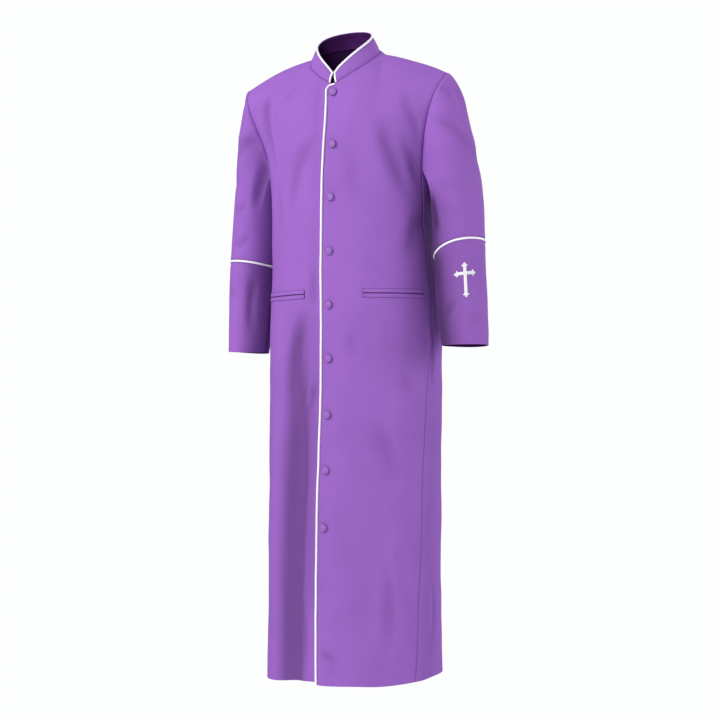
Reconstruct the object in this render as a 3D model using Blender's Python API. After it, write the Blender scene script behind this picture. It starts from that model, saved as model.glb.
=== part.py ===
"""Full-length clergy robe, held in its worn shape: an open, hollow shell of sewn cloth.

Metres, +Z up. The wearer faces -Y, and the wearer's left side is +X. The origin lies midway
between the two side neck points, where the shoulders carry the robe.
"""

import math

import bmesh
import bpy
import numpy as np
from mathutils import Matrix, Vector

FRONT = -1
BACK = 1
LEFT = 1
RIGHT = -1

# Driving dimensions.
CLOTH = 0.0016  # the suiting with its interlining
SEAM_GAP = 0.0004  # between two pieces that are sewn together
LAID_GAP = 0.0004  # between a piece and the panel that it lies on
CHEST_Z = -0.270  # the yoke's columns end here and the skirt's rings begin
ARMPIT_DROP = 0.036  # how far the armhole dips below the chest line
ARMPIT_ROUND = 0.8
HEM_Z = -1.4195  # its middle height: see HEM
OVERLAP = 0.0172  # each front runs this far past the centre front
UNDERLAP_DROP = 0.0030  # the right front lies this far behind the left one, where they lap
UNDERLAP_X = (-0.046, -0.024)  # and comes forward to its own line between these
UNDERLAP_HEM_RISE = 0.0070
NOTCH_RADIUS = 0.0110  # at the top corner of each front

# The robe's rings, from the chest to the hem: half width, front and back depth from the
# shoulder line, and the depth at which the ring is widest.
RING_COLUMNS = ("z", "half_width", "front", "back", "widest_y")
RINGS = (
    (-0.180, 0.2000, 0.0840, 0.136, 0.026),
    (-0.270, 0.1980, 0.0880, 0.148, 0.032),
    (-0.360, 0.1930, 0.0920, 0.157, 0.037),
    (-0.450, 0.1940, 0.0950, 0.163, 0.041),
    (-0.650, 0.2030, 0.0952, 0.172, 0.047),
    (-0.790, 0.2025, 0.0970, 0.177, 0.048),
    (-0.900, 0.2005, 0.1070, 0.180, 0.046),
    (-1.040, 0.2000, 0.1165, 0.183, 0.044),
    (-1.240, 0.1990, 0.1205, 0.187, 0.042),
    (-1.440, 0.2000, 0.1210, 0.190, 0.042),
)
RING_POWER = (2.15, 2.60)  # how square the rings are in front and behind

# Where the side panels are sewn in, as angles from the centre front.
SEAM_COLUMNS = ("z", "front_seam", "back_seam")
SEAMS = (
    (-0.270, 80.0, 107.0),
    (-0.400, 84.0, 109.0),
    (-0.560, 86.5, 110.0),
    (-0.680, 83.0, 112.0),
    (-0.790, 80.0, 113.0),
    (-0.900, 77.8, 114.0),
    (-1.100, 76.3, 116.0),
    (-1.440, 69.5, 119.0),
)

# The hem's own height, by the angle from the centre front.
HEM_COLUMNS = ("angle", "z")
HEM = (
    (-180.0, -1.4150),
    (-140.0, -1.4210),
    (-100.0, -1.4310),
    (-60.0, -1.4313),
    (-42.0, -1.4272),
    (-28.0, -1.4226),
    (0.0, -1.4228),
    (25.0, -1.4214),
    (50.0, -1.4200),
    (67.0, -1.4162),
    (87.0, -1.4165),
    (110.0, -1.4148),
    (145.0, -1.4110),
    (180.0, -1.4150),
)

# Soft folds that run down the skirt. Angles are degrees from the centre front, positive to
# the wearer's left. A fold grows from its top to its full height lower down.
FOLD_COLUMNS = ("angle", "lean", "half_width", "top", "full", "height")
FOLDS = (
    (-53.0, 0.0, 11.0, -0.42, -1.05, 0.0014),
    (-24.5, -7.0, 11.0, -0.45, -1.05, -0.0110),
    (30.0, 6.0, 14.0, -0.60, -1.20, -0.0022),
    (60.0, 2.0, 9.0, -0.55, -1.00, 0.0038),
    (90.0, -4.0, 10.0, -0.60, -1.10, -0.0040),
    (112.0, 4.0, 11.0, -0.40, -0.90, 0.0060),
    (138.0, -3.0, 12.0, -0.45, -1.05, -0.0080),
    (163.0, 2.0, 11.0, -0.50, -1.10, 0.0065),
    (-172.0, 3.0, 12.0, -0.40, -1.00, -0.0075),
    (-147.0, -2.0, 12.0, -0.50, -1.05, 0.0065),
    (-122.0, 3.0, 11.0, -0.45, -1.10, -0.0060),
    (-95.0, -2.0, 10.0, -0.60, -1.20, 0.0035),
)

# The neck: the seam where the collar is sewn on, and the collar's upper edge.
NECK_SEAM = dict(half_width=0.0825, front=0.0640, back=0.064, high=0.0295, low=-0.0735, power=1.1)
NECK_RIM = dict(half_width=0.0625, front=0.0590, back=0.050, high=0.0630, low=-0.0485, power=0.85)
SIDE_NECK_ANGLE = 96.0
COLLAR_BULGE = 0.0015
COLLAR_OPEN = (0.0058, 0.0008)  # half of the gap between its ends, at the seam and at the rim

LAP_FALL = 0.0060  # the fronts' lapped corners lie this far below the collar's ends
LAP_FORWARD = 0.0045  # and the left one this far in front of them
SHOULDER_TIP = (0.2505, 0.002, -0.0620)
SHOULDER_ARCH = 0.0085
HITCH = 0.0068  # the left shoulder stands this much higher than the right one
HITCH_X = (0.150, 0.250)  # from the neck's side of it to its tip
HITCH_HIGH = 0.15

# Where the cloth of the yoke heads from its top edge, by its share of that edge: these points
# are a third of the way down each column, and the columns leave the seams towards them.
YOKE_COLUMNS = ("share", "x", "y", "z")
YOKE_FRONT = (
    (0.00, -0.0085, -0.0850, -0.1480),
    (0.06, 0.0055, -0.0852, -0.1500),
    (0.12, 0.0235, -0.0850, -0.1450),
    (0.22, 0.0680, -0.0830, -0.1100),
    (0.36, 0.1200, -0.0710, -0.0740),
    (0.43, 0.1340, -0.0660, -0.0620),
    (0.70, 0.1780, -0.0710, -0.0720),
    (1.00, 0.2385, -0.0700, -0.1140),
)
YOKE_BACK = (
    (0.00, 0.0000, 0.1180, -0.0180),
    (0.22, 0.0700, 0.1090, -0.0120),
    (0.36, 0.1160, 0.0830, -0.0060),
    (0.43, 0.1310, 0.0700, -0.0060),
    (0.70, 0.1770, 0.0850, -0.0400),
    (1.00, 0.2360, 0.0780, -0.1080),
)
FAN = 0.11  # the columns spread from the neck towards the sides, by this share
YOKE_HANG = 0.42  # how far up the yoke the body's own line is held

# The arms: the middle of each sleeve and its half widths, across the body and front to back.
ARM_COLUMNS = ("z", "x", "y", "across", "deep")
ARM_LEFT = (
    (-0.345, 0.2627, 0.035, 0.0592, 0.0640),
    (-0.430, 0.2668, 0.035, 0.0582, 0.0630),
    (-0.500, 0.2739, 0.030, 0.0562, 0.0610),
    (-0.560, 0.2807, 0.022, 0.0555, 0.0600),
    (-0.610, 0.2884, 0.012, 0.0534, 0.0580),
    (-0.670, 0.2955, 0.001, 0.0495, 0.0560),
)
ARM_RIGHT = (
    (-0.345, 0.2535, 0.044, 0.0515, 0.0620),
    (-0.430, 0.2590, 0.045, 0.0535, 0.0620),
    (-0.500, 0.2620, 0.040, 0.0520, 0.0610),
    (-0.560, 0.2610, 0.034, 0.0510, 0.0590),
    (-0.610, 0.2600, 0.026, 0.0500, 0.0580),
    (-0.690, 0.2612, 0.016, 0.0452, 0.0560),
)
SLEEVE_HEAD_Z = -0.345
FRONT_TURN = 0.38  # the front's part of the armhole ends here, and the side panel's begins
BACK_TURN = 0.62  # the side panel's part ends here, and the back's begins
HEAD_FULLNESS = {LEFT: 0.145, RIGHT: 0.105}  # how far each sleeve head holds its first direction
HEAD_HANG = 0.36  # and its last one

# Which way the sleeve leaves the armhole, by its turn from the shoulder tip round the front.
HEAD_COLUMNS = ("turn", "out", "forward", "up")
HEAD = (
    (0.00, 0.97, 0.00, -0.24),
    (0.12, 0.84, 0.10, -0.50),
    (0.25, 0.74, 0.34, -0.56),
    (0.40, 0.80, 0.26, -0.54),
    (0.50, 0.80, 0.00, -0.60),
    (0.60, 0.80, -0.26, -0.54),
    (0.75, 0.80, -0.48, -0.36),
    (0.88, 0.93, -0.25, -0.28),
    (1.00, 0.97, 0.00, -0.24),
)

# The height of each sleeve's piping, and of its cuff's edge, on the sleeve's four sides.
CUFF_COLUMNS = ("side", "line", "front", "outer", "back", "inner")
CUFFS = (
    (1, "piping", -0.4345, -0.4255, -0.4460, -0.4680),
    (1, "edge", -0.6630, -0.6630, -0.6680, -0.6660),
    (-1, "piping", -0.4620, -0.4640, -0.4720, -0.4740),
    (-1, "edge", -0.6790, -0.6780, -0.6820, -0.6800),
)

# Slit pockets: the inner and the outer end of each mouth, in front view.
POCKET_COLUMNS = ("side", "inner_x", "inner_z", "outer_x", "outer_z")
POCKETS = (
    (1, 0.0845, -0.5475, 0.1930, -0.5490),
    (-1, 0.0580, -0.5485, 0.1830, -0.5520),
)
WELT_HIGH = 0.0088
WELT_THICK = 0.0012
WELT_PROFILE = (1.0, 1.0, 0.7)  # its thickness, away from the mouth
MOUTH = 0.0026  # the open line between the two welts

PIPING_WIDE = 0.0050
PIPING_THICK = 0.0024
PIPING_PROFILE = (0.35, 0.81, 1.0, 0.81, 0.35)  # its thickness, from edge to edge
NOTCH_STEPS = 5

# The embroidered cross on the left cuff.
CROSS_TALL = 0.078
CROSS_WIDE = 0.0495
CROSS_BAR = 0.0072
CROSS_END = 0.0140  # the width of its spade-shaped ends
# From the bar to the point: half widths, and how far in from the point, as shares of an end's
# half width.
CROSS_NECK_IN = 1.35
CROSS_TIP = ((1.0, 0.95), (0.45, 0.45))
CROSS_ARMS_DOWN = 0.024  # from the top to the middle of its arms
CROSS_THICK = 0.0012
CROSS_TURN = 0.163  # round the sleeve from its outer line to the front
CROSS_TOP_Z = -0.4815

BUTTON_RADIUS = 0.0095
# From the dome's middle to the shank's foot: a share of the radius, and the height.
BUTTON_PROFILE = (
    (0.00, 0.0056),
    (0.48, 0.0052),
    (0.80, 0.0046),
    (0.97, 0.0036),
    (1.00, 0.0026),
    (0.90, 0.0016),
    (0.34, 0.0014),
    (0.34, LAID_GAP),
    (0.00, LAID_GAP),
)
BUTTON_STEPS = 14
# Where each one is sewn on, x and z in front view. Their line drifts as the edge does.
BUTTONS = (
    (0.0027, -0.0925),
    (0.0091, -0.2115),
    (0.0074, -0.3312),
    (0.0057, -0.4520),
    (0.0047, -0.5723),
    (0.0038, -0.6932),
    (0.0035, -0.8194),
    (0.0045, -0.9438),
    (0.0028, -1.0706),
)

# How finely each panel is divided.
NECK_COLUMNS = 6
SHOULDER_COLUMNS = 8
SIDE_COLUMNS = 6
YOKE_ROWS = (0.0, 0.012, 0.034, 0.070, 0.135, 0.230, 0.350, 0.490, 0.650, 0.820, 1.0)
SKIRT_ROWS = 13
SLEEVE_HEAD_ROWS = 8
SLEEVE_TUBE_ROWS = 3
CUFF_ROWS = 6
COLLAR_ROWS = 3


def eased(x):
    x = np.clip(x, 0.0, 1.0)
    return x * x * (3 - 2 * x)


def read(table, columns, name, at):
    """A table's named column as a smooth curve through its rows, by its first column."""
    rows = np.array(table, float)
    keys, values = rows[:, 0], rows[:, columns.index(name)]
    if keys[0] > keys[-1]:
        keys, values = keys[::-1], values[::-1]
    slopes = np.gradient(values, keys)
    at = np.clip(at, keys[0], keys[-1])
    i = np.clip(np.searchsorted(keys, at) - 1, 0, len(keys) - 2)
    step = keys[i + 1] - keys[i]
    t = (at - keys[i]) / step
    return (
        values[i] * (1 + 2 * t) * (1 - t) ** 2
        + slopes[i] * step * t * (1 - t) ** 2
        + values[i + 1] * t * t * (3 - 2 * t)
        + slopes[i + 1] * step * t * t * (t - 1)
    )


def unit(v):
    return v / np.maximum(np.linalg.norm(v, axis=-1, keepdims=True), 1e-12)


def stacked(x, y, z):
    return np.stack(np.broadcast_arrays(x, y, z), axis=-1)


def bezier(p0, p1, p2, p3, t):
    t = t[..., None]
    return p0 * (1 - t) ** 3 + 3 * p1 * t * (1 - t) ** 2 + 3 * p2 * t * t * (1 - t) + p3 * t**3


# The body's outer face.


def folded(angle, z):
    """How far the skirt's folds stand out of its rings, at an angle in degrees."""
    out = np.zeros(np.broadcast(angle, z).shape)
    for row in FOLDS:
        fold = dict(zip(FOLD_COLUMNS, row))
        grown = eased((fold["top"] - z) / (fold["top"] - fold["full"]))
        middle = fold["angle"] + fold["lean"] * (z - fold["top"]) / (HEM_Z - fold["top"])
        off = (angle - middle + 180.0) % 360.0 - 180.0
        out = out + fold["height"] * grown * np.exp(-((off / fold["half_width"]) ** 2))
    return out


def ring(angle, z):
    """A point of the body below the chest, by its angle in degrees and its height."""
    angle, z = np.broadcast_arrays(np.asarray(angle, float), np.asarray(z, float))
    s, c = np.sin(np.radians(angle)), np.cos(np.radians(angle))
    middle = read(RINGS, RING_COLUMNS, "widest_y", z)
    front_deep = read(RINGS, RING_COLUMNS, "front", z) + middle
    back_deep = read(RINGS, RING_COLUMNS, "back", z) - middle
    wide = read(RINGS, RING_COLUMNS, "half_width", z)
    deep = np.where(c > 0, front_deep, back_deep)
    power = np.where(c > 0, *RING_POWER)
    r = ((np.abs(s) / wide) ** power + (np.abs(c) / deep) ** power) ** (-1 / power)
    r = r + folded(angle, z)
    return stacked(r * s, middle - r * c, z)


def hem_height(angle):
    return read(HEM, HEM_COLUMNS, "z", angle)


def neck_point(edge, angle):
    """A point of the neck seam or of the collar's rim, by its angle in degrees."""
    a = np.radians(angle)
    deep = np.where(np.cos(a) > 0, edge["front"], edge["back"])
    rise = np.abs(np.sin(a / 2)) ** edge["power"]
    z = edge["low"] + (edge["high"] - edge["low"]) * rise
    return stacked(edge["half_width"] * np.sin(a), -deep * np.cos(a), z)


def neck_angle(edge, x):
    return math.degrees(math.asin(x / edge["half_width"]))


FIRST_NECK_ANGLE = -neck_angle(NECK_SEAM, OVERLAP)
COLLAR_END_ANGLE = neck_angle(NECK_SEAM, COLLAR_OPEN[0])
NECK_SHARE = NECK_COLUMNS / (NECK_COLUMNS + SHOULDER_COLUMNS)


def shoulder_point(share):
    """A point of the left shoulder seam, from the side neck point to the shoulder tip."""
    share = np.asarray(share, float)[..., None]
    start, end = neck_point(NECK_SEAM, SIDE_NECK_ANGLE), np.array(SHOULDER_TIP)
    arch = SHOULDER_ARCH * np.sin(math.pi * share) * np.array([0.0, 0.0, 1.0])
    return start + (end - start) * share + arch


def top_edge(share, first_angle, lap_forward):
    """The upper edge of a left-hand panel: its part of the neck seam, then the shoulder."""
    on_neck = np.clip(share / NECK_SHARE, 0, 1)
    angle = first_angle + (SIDE_NECK_ANGLE - first_angle) * on_neck
    neck = neck_point(NECK_SEAM, np.maximum(angle, COLLAR_END_ANGLE))
    lapped = np.clip(COLLAR_END_ANGLE - angle, 0, None) / (COLLAR_END_ANGLE - FIRST_NECK_ANGLE)
    neck = neck - stacked((OVERLAP + COLLAR_OPEN[0]) * lapped, lap_forward * lapped, LAP_FALL * lapped)
    on_shoulder = np.clip((share - NECK_SHARE) / (1 - NECK_SHARE), 0, 1)
    return np.where((share <= NECK_SHARE)[..., None], neck, shoulder_point(on_shoulder))


def fanned(share):
    return share + FAN * np.sin(math.pi * share)


def yoke(side, facing, share, down, neck_start, ring_start, ring_end):
    """A point above the chest: a column of cloth from the top edge down to the first ring."""
    lap_forward = LAP_FORWARD if side == LEFT else 0.0
    top = top_edge(share, neck_start, lap_forward) * np.array([side, 1.0, 1.0])
    table = YOKE_BACK if facing == BACK else YOKE_FRONT
    x, y, z = (read(table, YOKE_COLUMNS, n, share) for n in YOKE_COLUMNS[1:])
    angle = side * (ring_start + (ring_end - ring_start) * fanned(share))
    low = ring(angle, CHEST_Z)
    arrive = unit(ring(angle, CHEST_Z - 0.01) - low)
    reach = np.linalg.norm(low - top, axis=-1, keepdims=True)
    return bezier(top, stacked(side * x, y, z), low - arrive * reach * YOKE_HANG, low, down)


def hitched(point):
    """Lifts what lies towards the left shoulder."""
    x, z = point[..., 0], point[..., 2]
    start, end = HITCH_X
    lift = HITCH * eased((x - start) / (end - start)) * eased((z - CHEST_Z) / HITCH_HIGH)
    return point + stacked(0.0, 0.0, lift)


def seam_angle(name, z):
    return read(SEAMS, SEAM_COLUMNS, name, z)


def edge_angle(z):
    """The ring angle of the fronts' edges, OVERLAP past the centre front."""
    deep = read(RINGS, RING_COLUMNS, "front", z) + read(RINGS, RING_COLUMNS, "widest_y", z)
    return np.degrees(np.arctan2(OVERLAP, deep))


def skirt(start, end, share, fall, top):
    """A point below the chest, between two seams whose angles change with the height."""
    z = top
    for _ in range(4):
        angle = start(z) + (end(z) - start(z)) * share
        z = top + (hem_height(angle) - top) * fall
    return ring(angle, z)


def front(side, share, down):
    """A front's outer face. share runs from its edge to its side; down is 0 at the top edge,
    1 at the chest and 2 at the hem."""
    share, down = np.broadcast_arrays(np.asarray(share, float), np.asarray(down, float))
    above = hitched(
        yoke(
            side,
            FRONT,
            share,
            np.clip(down, 0, 1),
            FIRST_NECK_ANGLE,
            -edge_angle(CHEST_Z),
            seam_angle("front_seam", CHEST_Z),
        )
    )
    below = skirt(
        lambda z: -side * edge_angle(z),
        lambda z: side * seam_angle("front_seam", z),
        fanned(share),
        np.clip(down - 1, 0, 1),
        CHEST_Z,
    )
    point = np.where((down < 1)[..., None], above, below)
    if side == RIGHT:
        lapped = eased((point[..., 0] - UNDERLAP_X[0]) / (UNDERLAP_X[1] - UNDERLAP_X[0]))
        point[..., 1] += UNDERLAP_DROP * lapped
        point[..., 2] += UNDERLAP_HEM_RISE * eased(1 - share / 0.5) * eased(down - 1)
    return point


def back(share, down):
    """The back's outer face. share runs from -1 at the right side to 1 at the left."""
    share, down = np.broadcast_arrays(np.asarray(share, float), np.asarray(down, float))
    side = np.where(share < 0, -1.0, 1.0)
    half = np.abs(share)
    above = yoke(
        1.0, BACK, half, np.clip(down, 0, 1), 180.0, 180.0, seam_angle("back_seam", CHEST_Z)
    )
    above[..., 0] *= side
    above = hitched(above)
    below = skirt(
        lambda z: side * 180.0,
        lambda z: side * seam_angle("back_seam", z),
        fanned(half),
        np.clip(down - 1, 0, 1),
        CHEST_Z,
    )
    return np.where((down < 1)[..., None], above, below)


def side_panel(side, share, down):
    """A side panel's outer face. share runs from its front seam to its back seam; down is 1
    at its top edge, which dips to the armpit, and 2 at the hem."""
    share, down = np.broadcast_arrays(np.asarray(share, float), np.asarray(down, float))
    top = CHEST_Z - ARMPIT_DROP * np.sin(math.pi * np.clip(share, 0, 1)) ** ARMPIT_ROUND
    return skirt(
        lambda z: side * seam_angle("front_seam", z),
        lambda z: side * seam_angle("back_seam", z),
        share,
        down - 1,
        top,
    )


# The sleeves' outer faces.


def armhole(side, turn):
    """A point of the armhole: down the front, under the arm and up the back."""
    turn = np.asarray(turn, float) % 1.0
    rows = np.array(YOKE_ROWS)
    along = np.linspace(0, 1, len(rows))
    on_front = np.interp(np.clip(turn / FRONT_TURN, 0, 1), along, rows)
    on_side = np.clip((turn - FRONT_TURN) / (BACK_TURN - FRONT_TURN), 0, 1)
    on_back = np.interp(np.clip((1 - turn) / (1 - BACK_TURN), 0, 1), along, rows)
    down_front = front(side, np.ones_like(turn), on_front)
    under_arm = side_panel(side, on_side, 1.0)
    up_back = back(side * np.ones_like(turn), on_back)
    point = np.where((turn < FRONT_TURN)[..., None], down_front, under_arm)
    return np.where((turn > BACK_TURN)[..., None], up_back, point)


def arm(side, turn, z):
    """A point of the hanging sleeve, by its turn from the outer side to the front."""
    table = ARM_LEFT if side == LEFT else ARM_RIGHT
    x, y, across, deep = (read(table, ARM_COLUMNS, n, z) for n in ARM_COLUMNS[1:])
    a = 2 * math.pi * turn
    return stacked(side * (x + across * np.cos(a)), y - deep * np.sin(a), z)


def round_height(side, turn, line):
    """A height that changes round the sleeve, from its values on the four sides."""
    row = next(row for row in CUFFS if row[:2] == (side, line))
    front_z, outer_z, back_z, inner_z = row[2:]
    a = 2 * math.pi * turn
    middle = (front_z + outer_z + back_z + inner_z) / 4
    twice = (front_z + back_z - outer_z - inner_z) / 4
    return (
        middle
        + (outer_z - inner_z) / 2 * np.cos(a)
        + (front_z - back_z) / 2 * np.sin(a)
        - twice * np.cos(2 * a)
    )


def sleeve(side, turn, down):
    """The upper sleeve's outer face: down is 0 at the armhole, 1 below it, 2 at the piping."""
    turn, down = np.broadcast_arrays(np.asarray(turn, float), np.asarray(down, float))
    start = armhole(side, turn)
    out, forward, up = (read(HEAD, HEAD_COLUMNS, n, turn % 1.0) for n in HEAD_COLUMNS[1:])
    leave = unit(stacked(out * side, -forward, up))
    end = arm(side, turn, SLEEVE_HEAD_Z)
    arrive = unit(arm(side, turn, SLEEVE_HEAD_Z - 0.01) - end)
    reach = np.linalg.norm(end - start, axis=-1, keepdims=True)
    first, last = reach * HEAD_FULLNESS[side], reach * HEAD_HANG
    head = bezier(start, start + leave * first, end - arrive * last, end, np.clip(down, 0, 1))
    seam_z = round_height(side, turn, "piping")
    hanging = arm(side, turn, SLEEVE_HEAD_Z + (seam_z - SLEEVE_HEAD_Z) * np.clip(down - 1, 0, 1))
    return np.where((down < 1)[..., None], head, hanging)


def cuff(side, turn, down):
    """The deep cuff's outer face: down is 0 at the piping and 1 at the wrist."""
    seam_z = round_height(side, turn, "piping")
    edge_z = round_height(side, turn, "edge")
    return arm(side, turn, seam_z + (edge_z - seam_z) * down)


def collar(angle, up):
    """The collar's outer face, by its angle round the neck seam and its share of the height."""
    rim_end = neck_angle(NECK_RIM, COLLAR_OPEN[1])
    rim_angle = 180 + (angle - 180) * (180 - rim_end) / (180 - COLLAR_END_ANGLE)
    low, high = neck_point(NECK_SEAM, angle), neck_point(NECK_RIM, rim_angle)
    a = np.radians(angle)
    bulge = COLLAR_BULGE * np.sin(math.pi * up)
    up = np.asarray(up, float)[..., None]
    return low + (high - low) * up + stacked(bulge * np.sin(a), -bulge * np.cos(a), 0.0 * a)


# Panels, and the solids made from them.


class Panel:
    """A cut piece of cloth: its outer face as a grid of points, and which way is out."""

    def __init__(self, surface, across, down, core, closed=False):
        self.across, self.down, self.closed = np.array(across), np.array(down), closed
        u, v = np.meshgrid(self.across, self.down)
        self.points = surface(u, v)
        step = 1e-3
        low, high = (-9.0, 9.0) if closed else (self.across[0], self.across[-1])
        along_u = surface(np.minimum(u + step, high), v) - surface(np.maximum(u - step, low), v)
        top, bottom = self.down[0], self.down[-1]
        along_v = surface(u, np.minimum(v + step, bottom)) - surface(u, np.maximum(v - step, top))
        self.normals = unit(np.cross(along_v, along_u))
        if np.sum(self.normals * (self.points - core(self.points))) < 0:
            self.normals = -self.normals

    def trim(self):
        """Draws the edges back by half of a seam's gap."""
        p = self.points.copy()
        edges = [(np.s_[0], np.s_[1]), (np.s_[-1], np.s_[-2])]
        if not self.closed:
            edges += [(np.s_[:, 0], np.s_[:, 1]), (np.s_[:, -1], np.s_[:, -2])]
        for edge, beside in edges:
            self.points[edge] += unit(p[beside] - p[edge]) * SEAM_GAP / 2
        return self

    def mixed(self, grid, u, v):
        i = np.clip(np.searchsorted(self.across, u) - 1, 0, len(self.across) - 2)
        j = np.clip(np.searchsorted(self.down, v) - 1, 0, len(self.down) - 2)
        s = ((u - self.across[i]) / (self.across[i + 1] - self.across[i]))[..., None]
        t = ((v - self.down[j]) / (self.down[j + 1] - self.down[j]))[..., None]
        upper = grid[j, i] * (1 - s) + grid[j, i + 1] * s
        lower = grid[j + 1, i] * (1 - s) + grid[j + 1, i + 1] * s
        return upper * (1 - t) + lower * t

    def at(self, u, v, height=0.0):
        """A point over the panel's own facets, and lifted off them."""
        u, v = np.broadcast_arrays(np.asarray(u, float), np.asarray(v, float))
        lift = np.asarray(height, float)[..., None]
        return self.mixed(self.points, u, v) + unit(self.mixed(self.normals, u, v)) * lift

    def find(self, x, z):
        """The place on a front where x and z are as given."""
        u, v = 0.5, 1.5
        for _ in range(12):
            row = np.array([self.at(a, v) for a in self.across])
            order = np.argsort(row[:, 0])
            u = float(np.interp(x, row[order, 0], self.across[order]))
            column = np.array([self.at(u, b) for b in self.down])
            v = float(np.interp(-z, -column[:, 2], self.down))
        return u, v


def join_normals(*edges):
    """Gives pieces that share a seam the same outward direction along it."""
    shared = unit(sum(edge for edge in edges))
    for edge in edges:
        edge[...] = shared


def grid_mesh(name, outer, inner, closed=False):
    """A closed wall between an outer and an inner grid of points of the same size."""
    rows, columns = outer.shape[:2]
    bm = bmesh.new()
    number = bm.verts.layers.int.new("number")
    bmesh.ops.create_grid(bm, x_segments=columns - 1, y_segments=rows - 1, size=0.5)
    for vert in bm.verts:
        i = round((vert.co.x + 0.5) * (columns - 1))
        j = round((vert.co.y + 0.5) * (rows - 1))
        vert[number] = j * columns + i
        vert.co = outer[j, i]
    if closed:
        bmesh.ops.remove_doubles(bm, verts=bm.verts[:], dist=1e-6)
    wall = bmesh.ops.extrude_face_region(bm, geom=bm.faces[:], use_keep_orig=True)
    for item in wall["geom"]:
        if isinstance(item, bmesh.types.BMVert):
            item.co = inner[divmod(item[number], columns)]
    bmesh.ops.triangulate(bm, faces=bm.faces[:], quad_method="SHORT_EDGE")
    bmesh.ops.recalc_face_normals(bm, faces=bm.faces[:])
    mesh = bpy.data.meshes.new(name)
    bm.to_mesh(mesh)
    bm.free()
    return mesh


def cloth_wall(name, panel, material):
    inner = panel.points - panel.normals * CLOTH
    place(name, grid_mesh(name, panel.points, inner, panel.closed), material)


def laid_strip(name, panel, outer_edge, inner_edge, heights, material, closed=False):
    """A strip on a panel between two lines of places on it, with a height for each row."""
    outer_edge, inner_edge = np.array(outer_edge), np.array(inner_edge)
    across = np.linspace(0, 1, len(heights))[:, None, None]
    places = outer_edge + (inner_edge - outer_edge) * across
    heights = np.array(heights)[:, None] + np.zeros(places.shape[:2])
    under = panel.at(places[..., 0], places[..., 1], np.full(places.shape[:2], LAID_GAP))
    over = panel.at(places[..., 0], places[..., 1], LAID_GAP + heights)
    place(name, grid_mesh(name, over, under, closed), material)


def place(name, mesh, material):
    mesh.materials.append(material)
    mesh.shade_smooth()
    mesh.set_sharp_from_angle(angle=math.radians(40))
    obj = bpy.data.objects.new(name, mesh)
    robe.objects.link(obj)
    return obj


def finish(name, colour, roughness):
    material = bpy.data.materials.new(name)
    material.use_nodes = True
    shader = material.node_tree.nodes["Principled BSDF"]
    shader.inputs["Base Color"].default_value = (*colour, 1.0)
    shader.inputs["Roughness"].default_value = roughness
    material.diffuse_color = (*colour, 1.0)
    return material


def body_core(points):
    """The body's middle, level with each point of a panel."""
    return stacked(0.0, 0.03, np.minimum(points[..., 2] - 0.03, -0.20))


def arm_core(side):
    table = ARM_LEFT if side == LEFT else ARM_RIGHT

    def core(points):
        z = np.minimum(points[..., 2], SLEEVE_HEAD_Z)
        x, y = (read(table, ARM_COLUMNS, n, z) for n in ("x", "y"))
        return stacked(side * x, y, points[..., 2])

    return core


def shares(first_share):
    """The columns of a front or of half of the back: neck seam, then shoulder seam."""
    neck = np.linspace(0, NECK_SHARE, NECK_COLUMNS + 1)
    if first_share:
        neck = np.append(0.0, np.linspace(first_share, NECK_SHARE, NECK_COLUMNS))
    return np.append(neck, np.linspace(NECK_SHARE, 1, SHOULDER_COLUMNS + 1)[1:])


def cut_panels():
    """Every panel of the robe, by its node's name."""
    collar_share = (COLLAR_END_ANGLE - FIRST_NECK_ANGLE) / (SIDE_NECK_ANGLE - FIRST_NECK_ANGLE)
    front_shares = shares(collar_share * NECK_SHARE)
    half_back = shares(None)
    down = np.append(YOKE_ROWS, 1 + np.linspace(0, 1, SKIRT_ROWS + 1)[1:])
    skirt_down = 1 + np.linspace(0, 1, SKIRT_ROWS + 1)
    side_shares = np.linspace(0, 1, SIDE_COLUMNS + 1)
    yoke_steps = len(YOKE_ROWS) - 1
    turns = np.concatenate(
        [
            np.linspace(0, FRONT_TURN, yoke_steps + 1),
            np.linspace(FRONT_TURN, BACK_TURN, SIDE_COLUMNS + 1)[1:],
            np.linspace(BACK_TURN, 1, yoke_steps + 1)[1:],
        ]
    )
    sleeve_down = np.append(
        np.linspace(0, 1, SLEEVE_HEAD_ROWS + 1), 1 + np.linspace(0, 1, SLEEVE_TUBE_ROWS + 1)[1:]
    )
    front_neck = FIRST_NECK_ANGLE + (
        (SIDE_NECK_ANGLE - FIRST_NECK_ANGLE) * front_shares[1 : NECK_COLUMNS + 1] / NECK_SHARE
    )
    back_neck = np.linspace(SIDE_NECK_ANGLE, 180, NECK_COLUMNS + 1)[1:]
    half_neck = np.append(front_neck, back_neck)
    neck = np.append(half_neck, 360 - half_neck[-2::-1])

    panels = {"back": Panel(back, np.append(-half_back[:0:-1], half_back), down, body_core)}
    panels["collar"] = Panel(
        collar, neck, np.linspace(0, 1, COLLAR_ROWS + 1), lambda p: stacked(0.0, 0.0, p[..., 2])
    )
    for side, name in ((LEFT, "left"), (RIGHT, "right")):
        panels[f"front_{name}"] = Panel(lambda u, v: front(side, u, v), front_shares, down, body_core)
        panels[f"side_{name}"] = Panel(
            lambda u, v: side_panel(side, u, v), side_shares, skirt_down, body_core
        )
        panels[f"sleeve_{name}"] = Panel(
            lambda u, v: sleeve(side, u, v), turns, sleeve_down, arm_core(side), closed=True
        )
        panels[f"cuff_{name}"] = Panel(
            lambda u, v: cuff(side, u, v),
            turns,
            np.linspace(0, 1, CUFF_ROWS + 1),
            arm_core(side),
            closed=True,
        )
    return panels


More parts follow.
